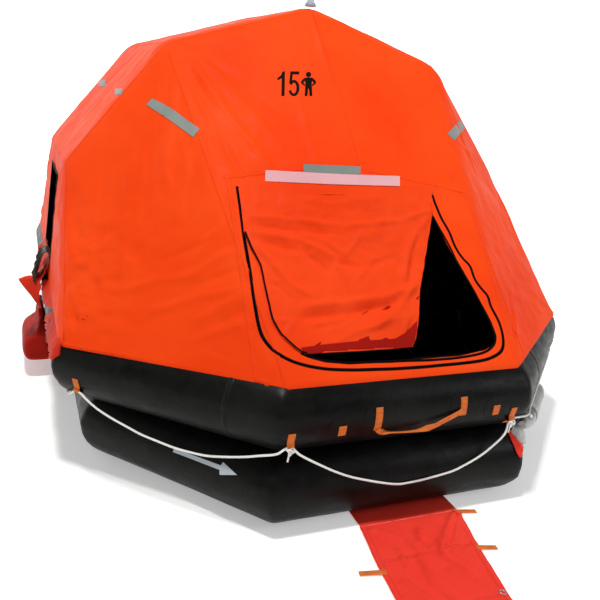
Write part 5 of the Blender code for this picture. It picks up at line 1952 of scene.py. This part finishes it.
# Profiles as (height, radius)
LAMP_BASE = ((0.0, 0.030), (0.004, 0.030), (0.0055, 0.0285), (0.012, 0.0275), (0.016, 0.024), (0.0175, 0.021),
             (0.0175, 0.004))
LAMP_LENS = ((0.0165, 0.0205), (0.024, 0.020), (0.031, 0.0185), (0.037, 0.015), (0.041, 0.0105),
             (0.044, 0.005),
             (0.0447, 0.001))


def build_lamp():
    for name, profile, finish, sharp in (("lamp_base", LAMP_BASE, lamp_plastic, 35),
                                         ("lamp_lens", LAMP_LENS, lamp_lens, 60)):
        dress(name, *turned(profile, np.array(LAMP_PLACE), UP), finish, "lamp_plastic",
              stands_for=("canopy_light",),
              sharp=sharp)


def arch_path(end):
    side = KNEE[0] - ARCH_INSET
    lean = (BASE_CORNER[0] - KNEE[0]) / (KNEE[1] - BASE_CORNER[2])
    foot_z = UPPER_Z + 0.05
    y = end * (CREASE_Y - ARCH_SETBACK)
    half = [(side + lean * (KNEE[1] - foot_z), foot_z), (side + 0.010, KNEE[1] - 0.045),
            (SHOULDER[0] - 0.055, SHOULDER[1] - ARCH_INSET)]
    flat = half + [(0.0, PEAK_Z - ARCH_INSET - 0.012)] + [(-x, z) for x, z in reversed(half)]
    flat = [np.array((x, y, z)) for x, z in flat]
    path = [flat[0]]
    for before, here, after in zip(flat, flat[1:], flat[2:]):
        back, on = before - here, after - here
        size_back, size_on = np.linalg.norm(back), np.linalg.norm(on)
        half_angle = math.acos(float(back @ on) / (size_back * size_on)) / 2
        trim = min(ARCH_BEND / math.tan(half_angle), 0.45 * size_back, 0.45 * size_on)
        start, stop = here + back / size_back * trim, here + on / size_on * trim
        for share in np.linspace(0, 1, 9):
            before_bend, after_bend = start + (here - start) * share, here + (stop - here) * share
            path.append(before_bend * (1 - share) + after_bend * share)
    path.append(flat[-1])
    return spaced(path, 0.05)


def build_arches():
    for name, end in (("front", -1), ("rear", 1)):
        path = arch_path(end)
        points, faces = sweep(path, (0, 1, 0), round_profile(ARCH_RADIUS, 36))
        points = points + normals_of(points, faces) * soft(points, (0.0009, 0.09, 30))[:, None]
        dress(f"arch_{name}_skin", points, faces, patch_rubber, "tube_rubber", stands_for=(f"arch_{name}",))


def build_floor():
    rise = TUBE_RADIUS - FLOOR_HIGH
    outline = offset(octagon("lower"), math.sqrt(TUBE_RADIUS ** 2 - rise ** 2) - 0.0007)
    flat, faces = filled(outline, 0.034)
    waves = np.abs(np.sin(np.pi * flat[:, 0] / CHANNEL)) ** 0.5
    points = np.column_stack([flat, np.where(at_edge(flat, faces), FLOOR_EDGE,
                                             FLOOR_LOW + CHANNEL_RISE * waves)])
    faces = facing(points, faces, UP)
    low = np.column_stack([flat, np.full(len(flat), FLOOR_UNDERSIDE)])
    count = len(points)
    rim = [(b, a, a + count, b + count) for a, b in sorted(edge_counts(faces))]
    all_faces = faces + [tuple(i + count for i in reversed(face)) for face in faces] + rim
    floor = dress("raft_floor_cushion", np.vstack([points, low]), all_faces, floor_rubber, "floor_rubber",
                  stands_for=("raft_floor",))
    for number, (x, y) in enumerate(POCKET_PLACES, 1):
        layers = []
        for k, (width, length) in enumerate(POCKET_LAYERS):
            cells = [(x + width * (c / POCKET_COLUMNS - 0.5), y + length * (r / POCKET_ROWS - 0.5))
                     for r in range(POCKET_ROWS + 1) for c in range(POCKET_COLUMNS + 1)]
            height = 0.0036 + 0.0031 * k
            sheet = np.array([(a, b, height + 0.0005 * noise.noise(Vector((a * 25, b * 25, k))))
                              for a, b in cells])
            faces = facing(sheet, grid_faces(POCKET_COLUMNS + 1, POCKET_ROWS + 1), UP)
            layers.append(thicken(sheet, faces, 0.0022)[:2])
        for side in (-1, 1):
            edge = [(x + side * 0.285, y + b, 0.0055) for b in np.linspace(-0.20, 0.20, 12)]
            layers.append(sweep(edge, UP, round_profile(0.0045)))
        pocket = dress(f"folded_pocket_{number}", *merged(layers), pocket_cloth, "pocket_fabric",
                       stands_for=(f"water_pocket_{number}",))


def build_ladder():
    straps, rows = [], []
    for side in (-1, 1):
        x = side * LADDER_HALF
        share = 0.5 - x
        top = [on_tube("upper", 4, share, degrees, 0.0016) for degrees in (26, 18, 10, 4)]
        fall = [np.array((x + 0.0015 * math.sin(z * 30 + side), LADDER_Y, z))
                for z in np.linspace(0.44, 0.018, 26)]
        line = smooth_line(top + fall, 3)
        normals = [tube_normal("upper", 4, math.radians(20))] * 6
        normals = np.array(normals + [(0.0, 1.0, 0.0)] * (len(line) - 6))
        straps.append(sweep(line, normals, strap_profile(0.030, 0.0024, -0.0012)))
        rows += [(beside(line, normals, s) + normals * 0.0014, normals) for s in (-0.011, 0.011)]
        pad = box_outline(share, TUBE_RADIUS * math.radians(12), 0.050, 0.085)
        straps.append(tube_patch("upper", 4, pad, 0.010, 0.0016))
    rung = [(x * 0.015, y * 0.006) for x, y in (rounded(a, 0.6) for a in np.linspace(0, math.tau, 17)[:-1])]
    for height in LADDER_RUNGS:
        line = [(x, LADDER_Y + 0.001, height + 0.0012 * math.sin(x * 18))
                for x in np.linspace(-0.172, 0.172, 24)]
        straps.append(sweep(line, (0, 1, 0), rung))
    dress("rear_ladder_webbing", *merged(straps), webbing, "webbing", stands_for=("rear_ladder",))
    grains("rear_ladder_stitches", rows, 0.0045, STRAP_STITCH, red_thread, "webbing")


build_lamp()
build_arches()
build_floor()
build_ladder()


# Rear entrance's closed flap and the port's edge

def build_rear_flap():
    outline = [(x * 0.985, min(u, 0.499) if u > 0.4 else u + 0.006) for x, u in REAR_OPENING]
    flat, faces = filled(as_lengths(outline), 0.016)
    points = np.array([on_sheet(x, y / SHEET_HIGH, 1) for x, y in flat])
    faces = facing(points, faces, sheet_normal(1))
    hold = np.where(at_edge(points, faces), 0.1, 1.0)
    slack = soft(points, (0.010, 0.22, 17), (0.0035, 0.07, 18))
    points = points + sheet_normal(1) * (slack * hold)[:, None]
    return sewn("rear_flap_cloth", points, faces, [flap_cloth, canopy_lining], "canopy_fabric", body=None,
                stands_for=("rear_door_flap",))


def build_port_edge():
    lean = (BASE_CORNER[0] - KNEE[0]) / (KNEE[1] - BASE_CORNER[2])
    line = [(-(BASE_CORNER[0] - lean * (z - BASE_CORNER[2])), y, z) for y, z in PORT]
    path = spaced(line, 0.02, closed=True)
    dress("port_edge_tape", *sweep(path, (-1, 0, 0), strap_profile(0.018, 0.0044, -0.0022), closed=True),
          zip_cloth,
          "webbing")


REAR_FLAP = build_rear_flap()
build_port_edge()


# The flaps that ride on no body, their placement baked into their meshes


for piece in FLAP_PIECES:
    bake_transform(piece)
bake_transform(REAR_FLAP)
